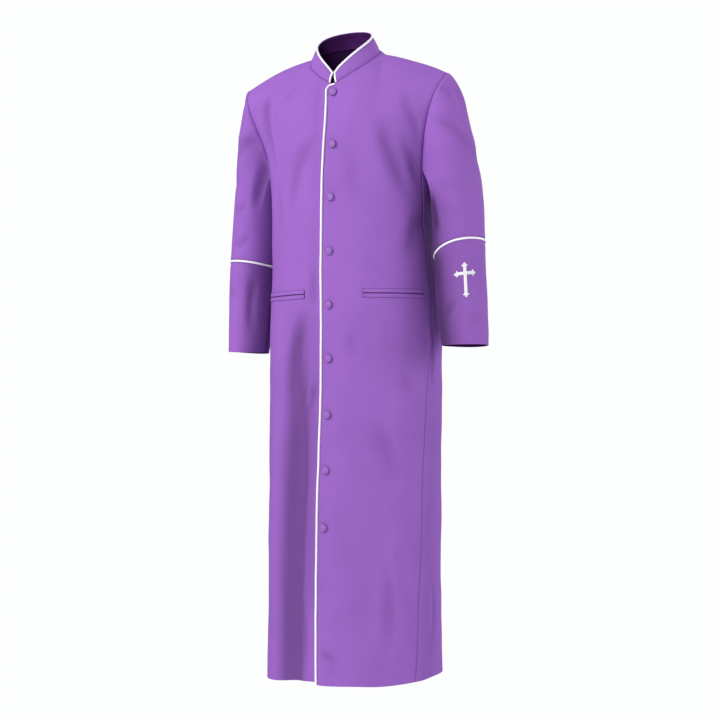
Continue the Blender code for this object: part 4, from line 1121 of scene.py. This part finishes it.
def cut_panels():
    """Every panel of the robe, by its node's name."""
    shoulder_lines = NECK_SHARE + (1 - NECK_SHARE) * with_edges(FINE["shoulder"], first=False)
    lines = np.append(NECK_LINES, shoulder_lines[1:])
    yoke = np.interp(YOKE_STEPS, np.linspace(0, 1, len(YOKE_ROWS)), YOKE_ROWS)
    skirt_rows = 1 + with_edges(FINE["skirt"], last=False)
    down = np.append(yoke, skirt_rows[1:])
    turns = np.concatenate(
        [
            FRONT_TURN * YOKE_STEPS,
            FRONT_TURN + (BACK_TURN - FRONT_TURN) * SIDE_LINES[1:],
            1 - FRONT_TURN * YOKE_STEPS[-2::-1],
        ]
    )
    tube = 1 + with_edges(FINE["tube"], first=False)
    sleeve_down = np.append(with_edges(FINE["head"]), tube[1:])
    on_neck = NECK_LINES / NECK_SHARE
    half_neck = FIRST_NECK_ANGLE + (SIDE_NECK_ANGLE - FIRST_NECK_ANGLE) * on_neck
    front_neck = half_neck[half_neck > COLLAR_END_ANGLE + 1e-6]
    back_neck = 180 - (180 - SIDE_NECK_ANGLE) * on_neck[-2::-1]
    half_neck = np.concatenate([[COLLAR_END_ANGLE], front_neck, back_neck])
    neck = np.append(half_neck, 360 - half_neck[-2::-1])

    panels = {"back": Panel(back, np.append(-lines[:0:-1], lines), down, body_core)}
    panels["collar"] = Panel(
        collar,
        neck,
        with_edges(FINE["collar"], last=False),
        lambda points: stacked(0.0, 0.0, points[..., 2]),
    )
    for side, name in ((LEFT, "left"), (RIGHT, "right")):
        panels[f"front_{name}"] = Panel(lambda u, v: front(side, u, v), lines, down, body_core)
        panels[f"side_{name}"] = Panel(
            lambda u, v: side_panel(side, u, v), SIDE_LINES, skirt_rows, body_core
        )
        panels[f"sleeve_{name}"] = Panel(
            lambda u, v: sleeve(side, u, v), turns, sleeve_down, arm_core(side), closed=True
        )
        panels[f"cuff_{name}"] = Panel(
            lambda u, v: cuff(side, u, v),
            turns,
            with_edges(FINE["cuff"], last=False),
            arm_core(side),
            closed=True,
        )
    return panels


def armhole_fade(panel):
    """Nothing moves at the armhole or at the top edge, where the pieces must still meet."""
    share, down = np.meshgrid(np.abs(panel.across), panel.down)
    beside = eased((1 - share) / ARMHOLE_STILL)
    below = eased((down - 1) / CHEST_STILL)
    return (1 - (1 - beside) * (1 - below)) * eased(down / TOP_STILL)


def settle(panels):
    """Moves every place of the cloth by its drags, waves and seams, and works out its painted shade.
    """
    sewn = {"back": ("first", "last", "top"), "collar": ("top",)}
    piping_shadowed = dict(front_left="first", collar="rim", cuff_left="top", cuff_right="top")
    fades = {name: armhole_fade(panels[name]) for name in ("back", "front_left", "front_right")}
    for name in ("left", "right"):
        sewn[f"front_{name}"] = ("last", "top")
        sewn[f"side_{name}"] = ("first", "last", "top")
        sewn[f"sleeve_{name}"] = ("top", "bottom")
        sewn[f"cuff_{name}"] = ("top",)
        down = panels[f"side_{name}"].down[:, None]
        fades[f"side_{name}"] = eased((down - 1) / CHEST_STILL)
        fades[f"sleeve_{name}"] = eased(panels[f"sleeve_{name}"].down / SLEEVE_STILL)[:, None]
    for name, panel in panels.items():
        panel.gaps = panel.dark_line_gap(sewn[name])
        across, down = panel.runs()
        # Painted shadow: a dark line just past each piping, where the raised cord keeps the light
        # off the cloth.
        if name in piping_shadowed:
            edge = dict(first=across, top=down, rim=down[-1:] - down)[piping_shadowed[name]]
            panel.gaps = np.minimum(panel.gaps, np.abs(edge - PIPING_WIDE - PIPING_SHADOW_PAST))
        kind, side = name.split("_")[0], name.split("_")[-1]
        if kind in ("sleeve", "cuff"):
            turn = np.broadcast_to(panel.across, panel.points.shape[:2])
            drags = sleeve_drags(side, turn, panel.points)
            hollow = -drags
            dark = shade(name, turn, panel.points[..., 2])
            out = drags + waves(panel.points)
            panel.gaps = np.minimum(panel.gaps, np.abs(turn - UNDER_ARM_TURN) * ARM_ROUND)
        elif kind == "collar":
            out = COLLAR_WAVES * waves(panel.points)
            hollow = dark = 0 * out
            panel.gaps = np.maximum(panel.gaps, COLLAR_SEAM_PALE)
        else:
            turn = np.arctan2(panel.points[..., 0], SIDE_LINE_Y - panel.points[..., 1])
            drags = body_drags(turn, panel.points)
            hollow = -drags - folded(np.degrees(turn), panel.points[..., 2])
            dark = shade("body", np.degrees(turn), panel.points[..., 2])
            out = drags + waves(panel.points) + hem_flutter(turn, panel.points[..., 2])
        out = out * fades.get(name, 1.0)
        # Painted shade: the deeper a fold, the darker, with the shade bands added.
        hollow = HOLLOW_SHADE * np.clip(hollow * fades.get(name, 1.0) / HOLLOW_DEEP, 0, 1)
        panel.hollow = np.clip(hollow + dark, 0, 1)
        out -= SEAM_SINK * np.exp(-((panel.gaps / SEAM_HALF_WIDTH) ** 2))
        out += SEAM_ROLL * np.exp(-(((panel.gaps - SEAM_ROLL_AT) / SEAM_ROLL_AT * 2) ** 2))
        if kind in ("front", "side", "back"):
            up, wide, high = HEM_LINE
            out += high * np.exp(-(((down[-1:] - down - up) / wide) ** 2))
        panel.points = panel.points + panel.normals * out[..., None]


def dent_buttons(panel):
    """The cloth lies a little deeper round each button."""
    for x, z in BUTTONS:
        centre = panel.at(*panel.find(x, z))
        off = np.linalg.norm((panel.points - centre) * BUTTON_DENT_SHAPE, axis=-1)
        dent = BUTTON_DENT * np.exp(-((off / BUTTON_DENT_WIDE) ** 2))
        panel.points = panel.points - panel.normals * dent[..., None]


def line_up(panels):
    """Gives neighbouring panels one direction along their seams."""
    rows, sides, neck = len(YOKE_STEPS) - 1, len(SIDE_LINES) - 1, len(NECK_LINES) - 1
    collar_end = int(np.searchsorted(NECK_LINES, COLLAR_END_SHARE - 1e-9))
    back_normals, collar_seam = panels["back"].normals, panels["collar"].normals[0]
    middle = back_normals.shape[1] // 2
    for _ in range(3):
        for name, half_back, half_collar in (
            ("left", back_normals[:, middle:], collar_seam),
            ("right", back_normals[:, middle::-1], collar_seam[::-1]),
        ):
            front_normals = panels[f"front_{name}"].normals
            side_normals = panels[f"side_{name}"].normals
            head = panels[f"sleeve_{name}"].normals[0]
            side_neck = neck - collar_end
            join_normals(front_normals[0, neck:], half_back[0, neck:])
            join_normals(front_normals[0, collar_end : neck + 1], half_collar[: side_neck + 1])
            join_normals(half_back[0, neck::-1], half_collar[side_neck : side_neck + neck + 1])
            join_normals(front_normals[rows:, -1], side_normals[:, 0])
            join_normals(half_back[rows:, -1], side_normals[:, -1])
            join_normals(head[0], head[-1])
            join_normals(head[: rows + 1], front_normals[: rows + 1, -1])
            join_normals(head[rows : rows + sides + 1], side_normals[0])
            join_normals(head[rows + sides :][::-1], half_back[: rows + 1, -1])
            join_normals(panels[f"sleeve_{name}"].normals[-1], panels[f"cuff_{name}"].normals[0])


def cloth_piece(name, panel):
    """The wall of one cut piece."""
    across, down = panel.runs()
    middle = across[:, across.shape[1] // 2][:, None]
    spread = np.stack([across - middle, -down], axis=-1)
    inner = panel.points - panel.normals * CLOTH
    marks = {"dark_line_gap": panel.gaps, "hollow": panel.hollow}
    mesh = wall(name, panel.points, inner, spread, marks, panel.closed)
    return piece(f"{name}_cloth", mesh, name, (suiting, wrong_side_and_shade))


def strip_piece(name, panel, places, heights, seam_side, material, closed=False):
    """A strip over a grid of places on a panel, with its height at each of them. Its UV runs along
    it and across it. A function of its rows and columns in metres tells how far each place is from a
    seam, or from the painted shade at a pocket's mouth."""
    under = panel.at(places[..., 0], places[..., 1], np.full(places.shape[:2], LAID_GAP))
    over = panel.at(places[..., 0], places[..., 1], LAID_GAP + heights)
    along = np.broadcast_to(run_along(under, axis=1).mean(axis=0), places.shape[:2])
    over_it = run_along(under)
    spread = np.stack([along, over_it], axis=-1)
    mesh = wall(name, over, under, spread, {"dark_line_gap": seam_side(along, over_it)}, closed)
    return piece(f"{name}_strip", mesh, name, (material, material), STRIP_SHARP)


def piping_strip(name, panel, outer_edge, inner_edge, closed=False):
    """A piping between two lines of places: a cord's round back over its sewn edges."""
    outer_edge, inner_edge = np.array(outer_edge), np.array(inner_edge)
    spots = np.linspace(-1, 1, PIPING_ROWS)[:, None]
    places = outer_edge + (inner_edge - outer_edge) * (spots[..., None] + 1) / 2
    round_back = PIPING_FLAT + (1 - PIPING_FLAT) * np.sqrt(np.clip(1 - spots**2, 0, 1))
    heights = PIPING_THICK * np.broadcast_to(round_back, places.shape[:2])
    return strip_piece(
        name,
        panel,
        places,
        heights,
        lambda along, over_it: np.minimum(over_it, over_it[-1:] - over_it),
        piping,
        closed,
    )


def front_piping(panel):
    """White piping up the left front's edge and round its top corner to the collar."""
    corner = panel.down_share(0.0, 0.0, NOTCH_RADIUS)
    outer, inner = [], []
    for v in panel.down[::-1]:
        if v > corner:
            outer.append((0.0, v))
            inner.append((panel.across_share(v, PIPING_WIDE), v))
    for k in range(NOTCH_STEPS + 1):
        a = math.radians(90 * k / NOTCH_STEPS)
        for line, inset in ((outer, 0.0), (inner, PIPING_WIDE)):
            radius = NOTCH_RADIUS - inset
            right = panel.across_share(0.0, NOTCH_RADIUS - radius * math.cos(a))
            drop = NOTCH_RADIUS - radius * math.sin(a)
            line.append((right, panel.down_share(right, 0.0, drop)))
    end = panel.across[np.searchsorted(panel.across, COLLAR_END_SHARE)]
    for share in np.linspace(outer[-1][0], end, PIPING_TOP_STEPS + 1)[1:]:
        outer.append((share, 0.0))
        inner.append((share, panel.down_share(share, 0.0, PIPING_WIDE)))
    return piping_strip("front_piping", panel, outer, inner)


def collar_piping(panel):
    """White piping up the collar's left end, round its upper edge and down its right end."""
    first, last = panel.across[0], panel.across[-1]
    ends = [panel.across_share(0.5, PIPING_WIDE), panel.across_share(0.5, PIPING_WIDE, True)]
    tall = np.linalg.norm(panel.points[-1] - panel.points[0], axis=-1)
    inner_top = 1 - PIPING_WIDE / tall[0]
    outer = [(first, v) for v in panel.down]
    inner = [(ends[0], min(v, inner_top)) for v in panel.down]
    for angle, high in zip(panel.across[1:-1], tall[1:-1]):
        if ends[0] < angle < ends[1]:
            outer.append((angle, 1.0))
            inner.append((angle, 1 - PIPING_WIDE / high))
    outer += [(last, v) for v in panel.down[::-1]]
    inner += [(ends[1], min(v, inner_top)) for v in panel.down[::-1]]
    return piping_strip("collar_piping", panel, outer, inner)


def sleeve_piping(name, panel):
    """A white ring of piping where a cuff meets its sleeve."""
    outer = [(u, 0.0) for u in panel.across]
    inner = [(u, panel.down_share(u, 0.0, PIPING_WIDE)) for u in panel.across]
    return piping_strip(name, panel, outer, inner, closed=True)


def welt_dark_lines(along, over_it):
    """How far each place of a welt is from its sewn edges or from the mouth's edge, which takes
    painted shade.
    """
    from_mouth = MOUTH_EDGE * np.clip(over_it - MOUTH / 2, 0, None)
    from_sides = np.minimum(over_it[-1:] - over_it, from_mouth)
    return np.minimum(from_sides, np.minimum(along, along[:, -1:] - along))


def pocket_welts(name, panel, pocket):
    """The two welts of a slit pocket, each from the middle of its uneven mouth, whose edges take
    painted shade.
    """
    start = panel.find(pocket["side"] * pocket["inner_x"], pocket["inner_z"])
    end = panel.find(pocket["side"] * pocket["outer_x"], pocket["outer_z"])
    shares = np.linspace(0, 1, WELT_COLUMNS)
    swell = np.sin(math.pi * shares) ** 0.5
    made = []
    for part, sign in (("upper", -1), ("lower", 1)):
        ajar = MOUTH / 2 - MOUTH_SHUT * (1 - swell)
        ajar = ajar + MOUTH_WAVE * np.sin(MOUTH_WAVES * shares + sign) * np.sin(math.pi * shares)
        places = np.zeros((len(WELT_ROWS), WELT_COLUMNS, 2))
        for k, share in enumerate(shares):
            u, v = (a + (b - a) * share for a, b in zip(start, end))
            for j, row in enumerate(WELT_ROWS):
                out = ajar[k] * row[0] + (MOUTH / 2 + WELT_HIGH - ajar[k]) * row[1]
                places[j, k] = u, panel.down_share(u, v, sign * out)
        heights = np.array([[row[2]] for row in WELT_ROWS]) + np.zeros(WELT_COLUMNS)
        made.append(
            strip_piece(
                f"pocket_{name}_{part}_welt",
                panel,
                places,
                heights,
                welt_dark_lines,
                welt_cloth,
            )
        )
    return made


def cross_outline():
    """A Latin cross with three-lobed ends, as points to the right and down of its middle."""
    bar, end = CROSS_BAR / 2, CROSS_END / 2
    reaches = (CROSS_ARMS_DOWN, CROSS_WIDE / 2, CROSS_TALL - CROSS_ARMS_DOWN, CROSS_WIDE / 2)
    points = []
    for quarter, reach in enumerate(reaches):
        cos, sin = ((1, 0), (0, 1), (-1, 0), (0, -1))[quarter]
        half_tip = [(across * end, reach - inward * end) for across, inward in CROSS_LOBES]
        half_tip.insert(0, (bar, reach - CROSS_NECK_IN * end))
        left = [(-across, out) for across, out in half_tip]
        for across, out in [(-bar, bar), *left, (0.0, reach), *half_tip[::-1]]:
            points.append((across * cos + out * sin, across * sin - out * cos))
    return points


def sleeve_cross(panel):
    """The cross embroidered on the left cuff: a padded form, rounded over its edges."""
    bm = bmesh.new()
    bm.faces.new([bm.verts.new((x, y, 0.0)) for x, y in cross_outline()])
    line = np.linspace(0, 1, 400)
    heights = panel.at(CROSS_TURN, line)[:, 2]
    middle = float(np.interp(CROSS_ARMS_DOWN - CROSS_TOP_Z, -heights, line))
    run = run_along(panel.at(panel.across, middle))
    centre = np.interp(CROSS_TURN, panel.across, run)
    for place in np.arange(-CROSS_TALL, CROSS_TALL, CROSS_GRAIN):
        for across_line in ((1, 0, 0), (0, 1, 0)):
            bmesh.ops.bisect_plane(
                bm,
                geom=bm.verts[:] + bm.edges[:] + bm.faces[:],
                plane_co=Vector(across_line) * place,
                plane_no=across_line,
                dist=MERGE,
            )
    bmesh.ops.triangulate(bm, faces=bm.faces[:])
    flat = bm.loops.layers.uv.new("cut")
    for face in bm.faces:
        for loop in face.loops:
            loop[flat].uv = loop.vert.co.xy
    bmesh.ops.recalc_face_normals(bm, faces=bm.faces[:])
    shell = bmesh.ops.extrude_face_region(bm, geom=bm.faces[:], use_keep_orig=True)
    lifted = {item for item in shell["geom"] if isinstance(item, bmesh.types.BMVert)}
    top = {item for item in shell["geom"] if isinstance(item, bmesh.types.BMFace)}
    rim = {
        vert
        for edge in bm.edges
        if len({face in top for face in edge.link_faces}) > 1
        for vert in edge.verts
    }
    for vert in bm.verts:
        u = float(np.interp(centre - vert.co.x, run, panel.across))
        v = panel.down_share(u, middle, vert.co.y)
        thick = CROSS_THICK * (CROSS_RIM_HIGH if vert in rim else 1.0)
        vert.co = panel.at(u, v, LAID_GAP + (thick if vert in lifted else 0.0))
    bmesh.ops.recalc_face_normals(bm, faces=bm.faces[:])
    mesh = finished_mesh("sleeve_cross", bm)
    return piece("sleeve_cross_stitches", mesh, "sleeve_cross", (thread,), CROSS_SHARP)


def button_mesh():
    """A covered button turned from its profile: a dome in a raised ring, on a short shank."""
    bm = bmesh.new()
    line = [bm.verts.new((share * BUTTON_RADIUS, 0.0, z)) for share, z in BUTTON_FINE_PROFILE]
    edges = [bm.edges.new(pair) for pair in zip(line, line[1:])]
    bmesh.ops.spin(
        bm,
        geom=line + edges,
        cent=(0, 0, 0),
        axis=(0, 0, 1),
        angle=2 * math.pi,
        steps=BUTTON_SPIN_STEPS,
        use_merge=True,
    )
    bmesh.ops.remove_doubles(bm, verts=bm.verts[:], dist=MERGE)
    for vert in bm.verts:
        turn = math.atan2(vert.co.y, vert.co.x)
        out = math.hypot(vert.co.x, vert.co.y) / BUTTON_RADIUS
        pleated = max(0.0, out - BUTTON_PLEAT_FROM) / BUTTON_PLEAT_OVER
        if vert.co.z < BUTTON_PLEAT_TOP:
            vert.co.z += BUTTON_PLEAT * math.sin(BUTTON_PLEATS * turn) * pleated
    bmesh.ops.recalc_face_normals(bm, faces=bm.faces[:])
    mesh = finished_mesh("button", bm)
    # Painted shade round the rim and in the groove where the dome meets its ring, kept as a mark on
    # the mesh.
    share = np.array([math.hypot(vert.co.x, vert.co.y) / BUTTON_RADIUS for vert in mesh.vertices])
    off = (share - BUTTON_VALLEY) / BUTTON_VALLEY_WIDE
    valley = BUTTON_VALLEY_SHADE * np.exp(-(off**2))
    rim = eased((share - BUTTON_RIM_FROM) / BUTTON_RIM_OVER)
    mark = mesh.attributes.new("ring", "FLOAT", "POINT")
    mark.data.foreach_set("value", np.maximum(valley, rim))
    return mesh


def buttons(panel):
    """Nine covered buttons down the centre front, none of them lying quite like the next."""
    mesh = button_mesh()
    for number, (x, z) in enumerate(BUTTONS):
        u, v = panel.find(x, z)
        centre, lifted = (Vector(panel.at(u, v, height)) for height in (0.0, 1.0))
        turn = (lifted - centre).to_track_quat("Z", "Y").to_matrix().to_4x4()
        one, other = BUTTON_LEAN_TURNS
        lean = Matrix.Rotation(BUTTON_LEAN * math.sin(one * number), 4, "X")
        lean @= Matrix.Rotation(BUTTON_LEAN * math.cos(other * number), 4, "Y")
        node = f"button_{number + 1}"
        button = mesh.copy()
        button.transform(Matrix.Translation(centre) @ turn @ lean)
        piece(f"covered_{node}", button, node, (covered,), BUTTON_SHARP)
    bpy.data.meshes.remove(mesh)


# Finishes. Sums and products of wires add the nodes that work them out.

MIX_BLANKS = 5  # the inputs of a mix node between its share and its two colours
SLUB = (420.0, 3.0, 0.6)  # thick places in the thread: how fine, how detailed and how rough
TONE = (7.0, 3.0, 0.55)  # and slow changes over the cloth
PIPING_SLUB = (300.0,)
BUTTON_SLUB = (600.0, 3.0)
CROSS_RIB = 0.62  # the second rib's spacing, as a share of the twill's
TWILL_DEEP = 0.00022
PIPING_TWILL = 0.0010
PIPING_SLANT = 0.6
STITCH_STEP = 0.0009
STITCH_SLANT = 0.8
STITCH_DEEP = 0.00025
SATIN_DEEP = 0.0002


class Wire:
    """A number on its way through a finish's nodes."""

    def __init__(self, finish, socket):
        self.finish, self.socket = finish, socket

    def worked(self, operation, *others):
        return self.finish.node("ShaderNodeMath", {"operation": operation}, *others)

    def __add__(self, other):
        return self.worked("ADD", self, other)

    def __sub__(self, other):
        return self.worked("SUBTRACT", self, other)

    def __mul__(self, other):
        return self.worked("MULTIPLY", self, other)

    __radd__, __rmul__ = __add__, __mul__

    def sine(self):
        return self.worked("SINE", self)

    def band(self, low, high, start=0.0, end=1.0):
        """Runs smoothly from start to end as the number goes from low to high."""
        settings = {"interpolation_type": "SMOOTHSTEP"}
        return self.finish.node("ShaderNodeMapRange", settings, self, low, high, start, end)


class Finish:
    """One material, with its nodes added from plain calls."""

    def __init__(self, name, **shader):
        self.material = bpy.data.materials.new(name)
        self.material.use_nodes = True
        self.tree = self.material.node_tree
        self.shader = self.tree.nodes["Principled BSDF"]
        for socket, value in shader.items():
            self.shader.inputs[socket.replace("_", " ")].default_value = value

    def node(self, kind, settings, *inputs, out=0, **named):
        node = self.tree.nodes.new(kind)
        for key, value in settings.items():
            setattr(node, key, value)
        for key, value in [*enumerate(inputs), *named.items()]:
            socket = node.inputs[key.replace("_", " ") if isinstance(key, str) else key]
            if isinstance(value, Wire):
                self.tree.links.new(value.socket, socket)
            elif value is not None:
                socket.default_value = value
        return Wire(self, node.outputs[out])

    def flat_cloth(self):
        """How far along and down the flat cloth a place is, in metres."""
        spread = self.node("ShaderNodeUVMap", {"uv_map": "cut"})
        along = self.node("ShaderNodeSeparateXYZ", {}, spread)
        return along, Wire(self, along.socket.node.outputs[1])

    def mark(self, name):
        """A number that the mesh carries at each of its places."""
        return self.node("ShaderNodeAttribute", {"attribute_name": name}, out=2)

    def place(self):
        """Where a place is on its own piece."""
        return self.node("ShaderNodeTexCoord", {}, out=3)

    def noise(self, scale, detail=2.0, rough=0.5):
        named = dict(Vector=self.place(), Scale=scale, Detail=detail, Roughness=rough)
        return self.node("ShaderNodeTexNoise", {}, **named)

    def mixed(self, share, first, second):
        """A colour between two, by a share."""
        inputs = [share, *[None] * MIX_BLANKS, first, second]
        return self.node("ShaderNodeMix", {"data_type": "RGBA"}, *inputs, out=2)

    def feed(self, name, wire):
        self.tree.links.new(wire.socket, self.shader.inputs[name])

    def raise_by(self, height, depth, strength=1.0):
        """Bumps the surface by a height from 0 to 1, over a real depth."""
        named = dict(Strength=strength, Distance=depth, Height=height)
        self.feed("Normal", self.node("ShaderNodeBump", {}, **named))


def suiting_cloth(name, light, dark, seam_and_shadow_dark, edge=(0.0004, 0.0020), **shader):
    """Fine twill: diagonal ribs, slubs, slow changes of tone, painted shade in folds and shade
    bands, and darker pressed seams with the painted shadow beside a piping and the painted shade of
    a pocket's mouth, all of which fade out between the two distances of edge."""
    made = Finish(name, **shader)
    across, down = made.flat_cloth()
    rib = ((across + down) * (2 * math.pi / TWILL_STEP)).sine()
    cross_rib = ((across - down) * (2 * math.pi / (TWILL_STEP * CROSS_RIB))).sine()
    slub = made.noise(*SLUB)
    tone = made.noise(*TONE)
    share = tone.band(0.30, 0.72) * 0.55 + slub.band(0.35, 0.65) * 0.25 + rib * 0.06
    colour = made.mixed(share, (*light, 1.0), (*dark, 1.0))
    gap = made.mark("dark_line_gap")
    hollow = made.mark("hollow")
    # Painted shade in folds and in the shade bands.
    colour = made.mixed(hollow, colour, (*PAINTED_SHADE_PURPLE, 1.0))
    # Dark seam lines, with the painted shadow beside a piping and the painted shade at a pocket's
    # mouth.
    colour = made.mixed(gap.band(*edge, 0.8, 0.0), colour, (*seam_and_shadow_dark, 1.0))
    made.feed("Base Color", colour)
    made.raise_by(rib * 0.35 + cross_rib * 0.15 + slub * 0.5, TWILL_DEEP, 0.55)
    return made.material


def satin_piping():
    """White satin over a cord, with a slanting twill."""
    made = Finish("white_piping", Roughness=0.5, Sheen_Weight=0.15)
    along, across = made.flat_cloth()
    rib = ((along + across * PIPING_SLANT) * (2 * math.pi / PIPING_TWILL)).sine()
    slub = made.noise(*PIPING_SLUB)
    colour = made.mixed(slub.band(0.3, 0.7), (*WHITE, 1.0), (*WHITE_SHADE, 1.0))
    made.feed("Base Color", colour)
    made.raise_by(rib * 0.5 + slub * 0.5, SATIN_DEEP, 0.5)
    return made.material


def satin_stitch():
    """White thread laid side by side."""
    made = Finish("white_embroidery", Roughness=0.42, Sheen_Weight=0.1)
    across, down = made.flat_cloth()
    slant = ((across * STITCH_SLANT + down) * (2 * math.pi / STITCH_STEP)).sine()
    # Painted shade in the grooves between the threads.
    colour = made.mixed(slant.band(-1.0, 0.2), (*THREAD_SHADE, 1.0), (*THREAD_WHITE, 1.0))
    made.feed("Base Color", colour)
    made.raise_by(slant, STITCH_DEEP, 0.7)
    return made.material


def button_cloth():
    """The suiting drawn tight over a button, finer, with painted shade round the rim and in the
    groove where the dome meets its ring.
    """
    made = Finish("covered_button", Roughness=0.62, Sheen_Weight=0.05)
    slub = made.noise(*BUTTON_SLUB)
    colour = made.mixed(slub.band(0.3, 0.7), (*PURPLE, 1.0), (*PURPLE_SHADE, 1.0))
    # Painted shade round the rim and in the groove.
    colour = made.mixed(made.mark("ring") * BUTTON_RIM_SHADE, colour, (*SEAM_AND_SHADOW_PURPLE, 1.0))
    made.feed("Base Color", colour)
    made.raise_by(slub, SATIN_DEEP, 0.4)
    return made.material


def plain(name, colour, roughness):
    made = Finish(name, Roughness=roughness)
    made.shader.inputs["Base Color"].default_value = (*colour, 1.0)
    return made.material


def round_corner(panel):
    """Cuts the top corner of the left front to the curve that its piping follows."""
    across, down = panel.runs()
    uncut = Panel.__new__(Panel)
    uncut.__dict__.update(panel.__dict__, points=panel.points.copy())
    for j, i in zip(*np.nonzero((across < NOTCH_RADIUS) & (down < NOTCH_RADIUS))):
        p, q = 1 - across[j, i] / NOTCH_RADIUS, 1 - down[j, i] / NOTCH_RADIUS
        right = NOTCH_RADIUS * (1 - p * math.sqrt(1 - q * q / 2))
        drop = NOTCH_RADIUS * (1 - q * math.sqrt(1 - p * p / 2))
        u = uncut.across_share(panel.down[j], right)
        panel.points[j, i] = uncut.at(u, uncut.down_share(u, 0.0, drop))


def area_light(name, place, towards, size, power, colour):
    light = bpy.data.lights.new(name, "AREA")
    light.shape, light.size, light.energy, light.color = "DISK", size, power, colour
    obj = bpy.data.objects.new(name, light)
    obj.location = place
    obj.rotation_euler = (Vector(towards) - Vector(place)).to_track_quat("-Z", "Y").to_euler()
    bpy.context.scene.collection.objects.link(obj)


def stage():
    """A pale floor, soft studio light, and the camera where the photograph was taken."""
    scene = bpy.context.scene
    camera = bpy.data.objects.new("camera", bpy.data.cameras.new("camera"))
    camera.data.sensor_width = 36.0
    camera.data.lens = 82.84
    camera.location = (1.6372, -3.4295, -0.697)
    camera.rotation_euler = (math.radians(90), 0.0, math.radians(25))
    scene.collection.objects.link(camera)
    scene.camera = camera
    scene.view_settings.view_transform = "Standard"

    bm = bmesh.new()
    bmesh.ops.create_circle(bm, cap_ends=True, segments=96, radius=FLOOR_RADIUS)
    bmesh.ops.translate(bm, verts=bm.verts[:], vec=(0.0, 0.0, FLOOR_Z))
    floor = bpy.data.objects.new("floor", finished_mesh("floor", bm))
    floor.data.materials.append(plain("pale_floor", FLOOR_WHITE, FLOOR_ROUGH))
    scene.collection.objects.link(floor)

    world = bpy.data.worlds.new("studio")
    world.use_nodes = True
    nodes, links = world.node_tree.nodes, world.node_tree.links
    room = nodes["Background"]
    room.inputs["Color"].default_value = ROOM_COLOUR
    room.inputs["Strength"].default_value = ROOM_LIGHT
    backdrop = nodes.new("ShaderNodeBackground")
    backdrop.inputs["Color"].default_value = BACKDROP_COLOUR
    seen, ray = nodes.new("ShaderNodeMixShader"), nodes.new("ShaderNodeLightPath")
    links.new(ray.outputs["Is Camera Ray"], seen.inputs["Fac"])
    links.new(room.outputs[0], seen.inputs[1])
    links.new(backdrop.outputs[0], seen.inputs[2])
    links.new(seen.outputs[0], nodes["World Output"].inputs["Surface"])
    scene.world = world
    for light in rows_of(LIGHTS, LIGHT_COLUMNS):
        area_light(**light)


FLOOR_Z = -2.10
FLOOR_RADIUS = 2.20
FLOOR_WHITE = (0.93, 0.93, 0.94)
FLOOR_ROUGH = 0.9
ROOM_LIGHT = 0.36
ROOM_COLOUR = (0.97, 0.98, 1.0, 1.0)
BACKDROP_COLOUR = (0.98, 0.99, 0.99, 1.0)  # what the camera sees of the room
LIGHT_COLUMNS = ("name", "place", "towards", "size", "power", "colour")
LIGHTS = (
    ("key", (-2.20, -2.40, 1.80), (0.0, 0.0, -0.6), 1.5, 114.0, (1.0, 0.985, 0.97)),
    ("front_fill", (0.40, -3.90, 0.10), (0.0, 0.0, -0.6), 1.8, 72.0, (1.0, 0.99, 0.98)),
    ("right_fill", (3.60, 0.50, 0.30), (0.0, 0.0, -0.8), 1.8, 60.0, (1.0, 0.99, 0.99)),
    ("back_fill", (0.8, 3.4, 1.6), (0.0, 0.0, -0.6), 2.4, 75.0, (0.98, 0.99, 1.0)),
)


dull = dict(Roughness=0.82, Specular_IOR_Level=0.12)
matt = dict(Roughness=0.9, Specular_IOR_Level=0.0)
suiting = suiting_cloth("purple_suiting", PURPLE, PURPLE_SHADE, SEAM_AND_SHADOW_PURPLE, **dull)
# Inside faces, darkened as painted shade inside the neck.
wrong_side_and_shade = suiting_cloth("purple_wrong_side", INSIDE_SHADED_PURPLE, INSIDE_SHADE, INSIDE_SHADE, **matt)
# The welts, with painted shade at the pocket mouths.
welt_cloth = suiting_cloth(
    "purple_welt", PURPLE, PURPLE_SHADE, WELT_SEAM_AND_MOUTH_SHADE, edge=(0.0003, 0.0012), **dull
)
covered = button_cloth()
piping = satin_piping()
thread = satin_stitch()

panels = cut_panels()
line_up(panels)
settle(panels)
dent_buttons(panels["front_left"])
round_corner(panels["front_left"])
cloth = {name: cloth_piece(name, panel) for name, panel in panels.items()}
trims = {
    "front_left": [front_piping(panels["front_left"])],
    "collar": [collar_piping(panels["collar"])],
    "cuff_left": [
        sleeve_piping("sleeve_piping_left", panels["cuff_left"]),
        sleeve_cross(panels["cuff_left"]),
    ],
    "cuff_right": [sleeve_piping("sleeve_piping_right", panels["cuff_right"])],
    "front_right": [],
}
for pocket in rows_of(POCKETS, POCKET_COLUMNS):
    name = "left" if pocket["side"] == LEFT else "right"
    trims[f"front_{name}"] += pocket_welts(name, panels[f"front_{name}"], pocket)
buttons(panels["front_left"])
for cut in rows_of(CUTS, CUT_COLUMNS):
    name = cut["name"]

stage()
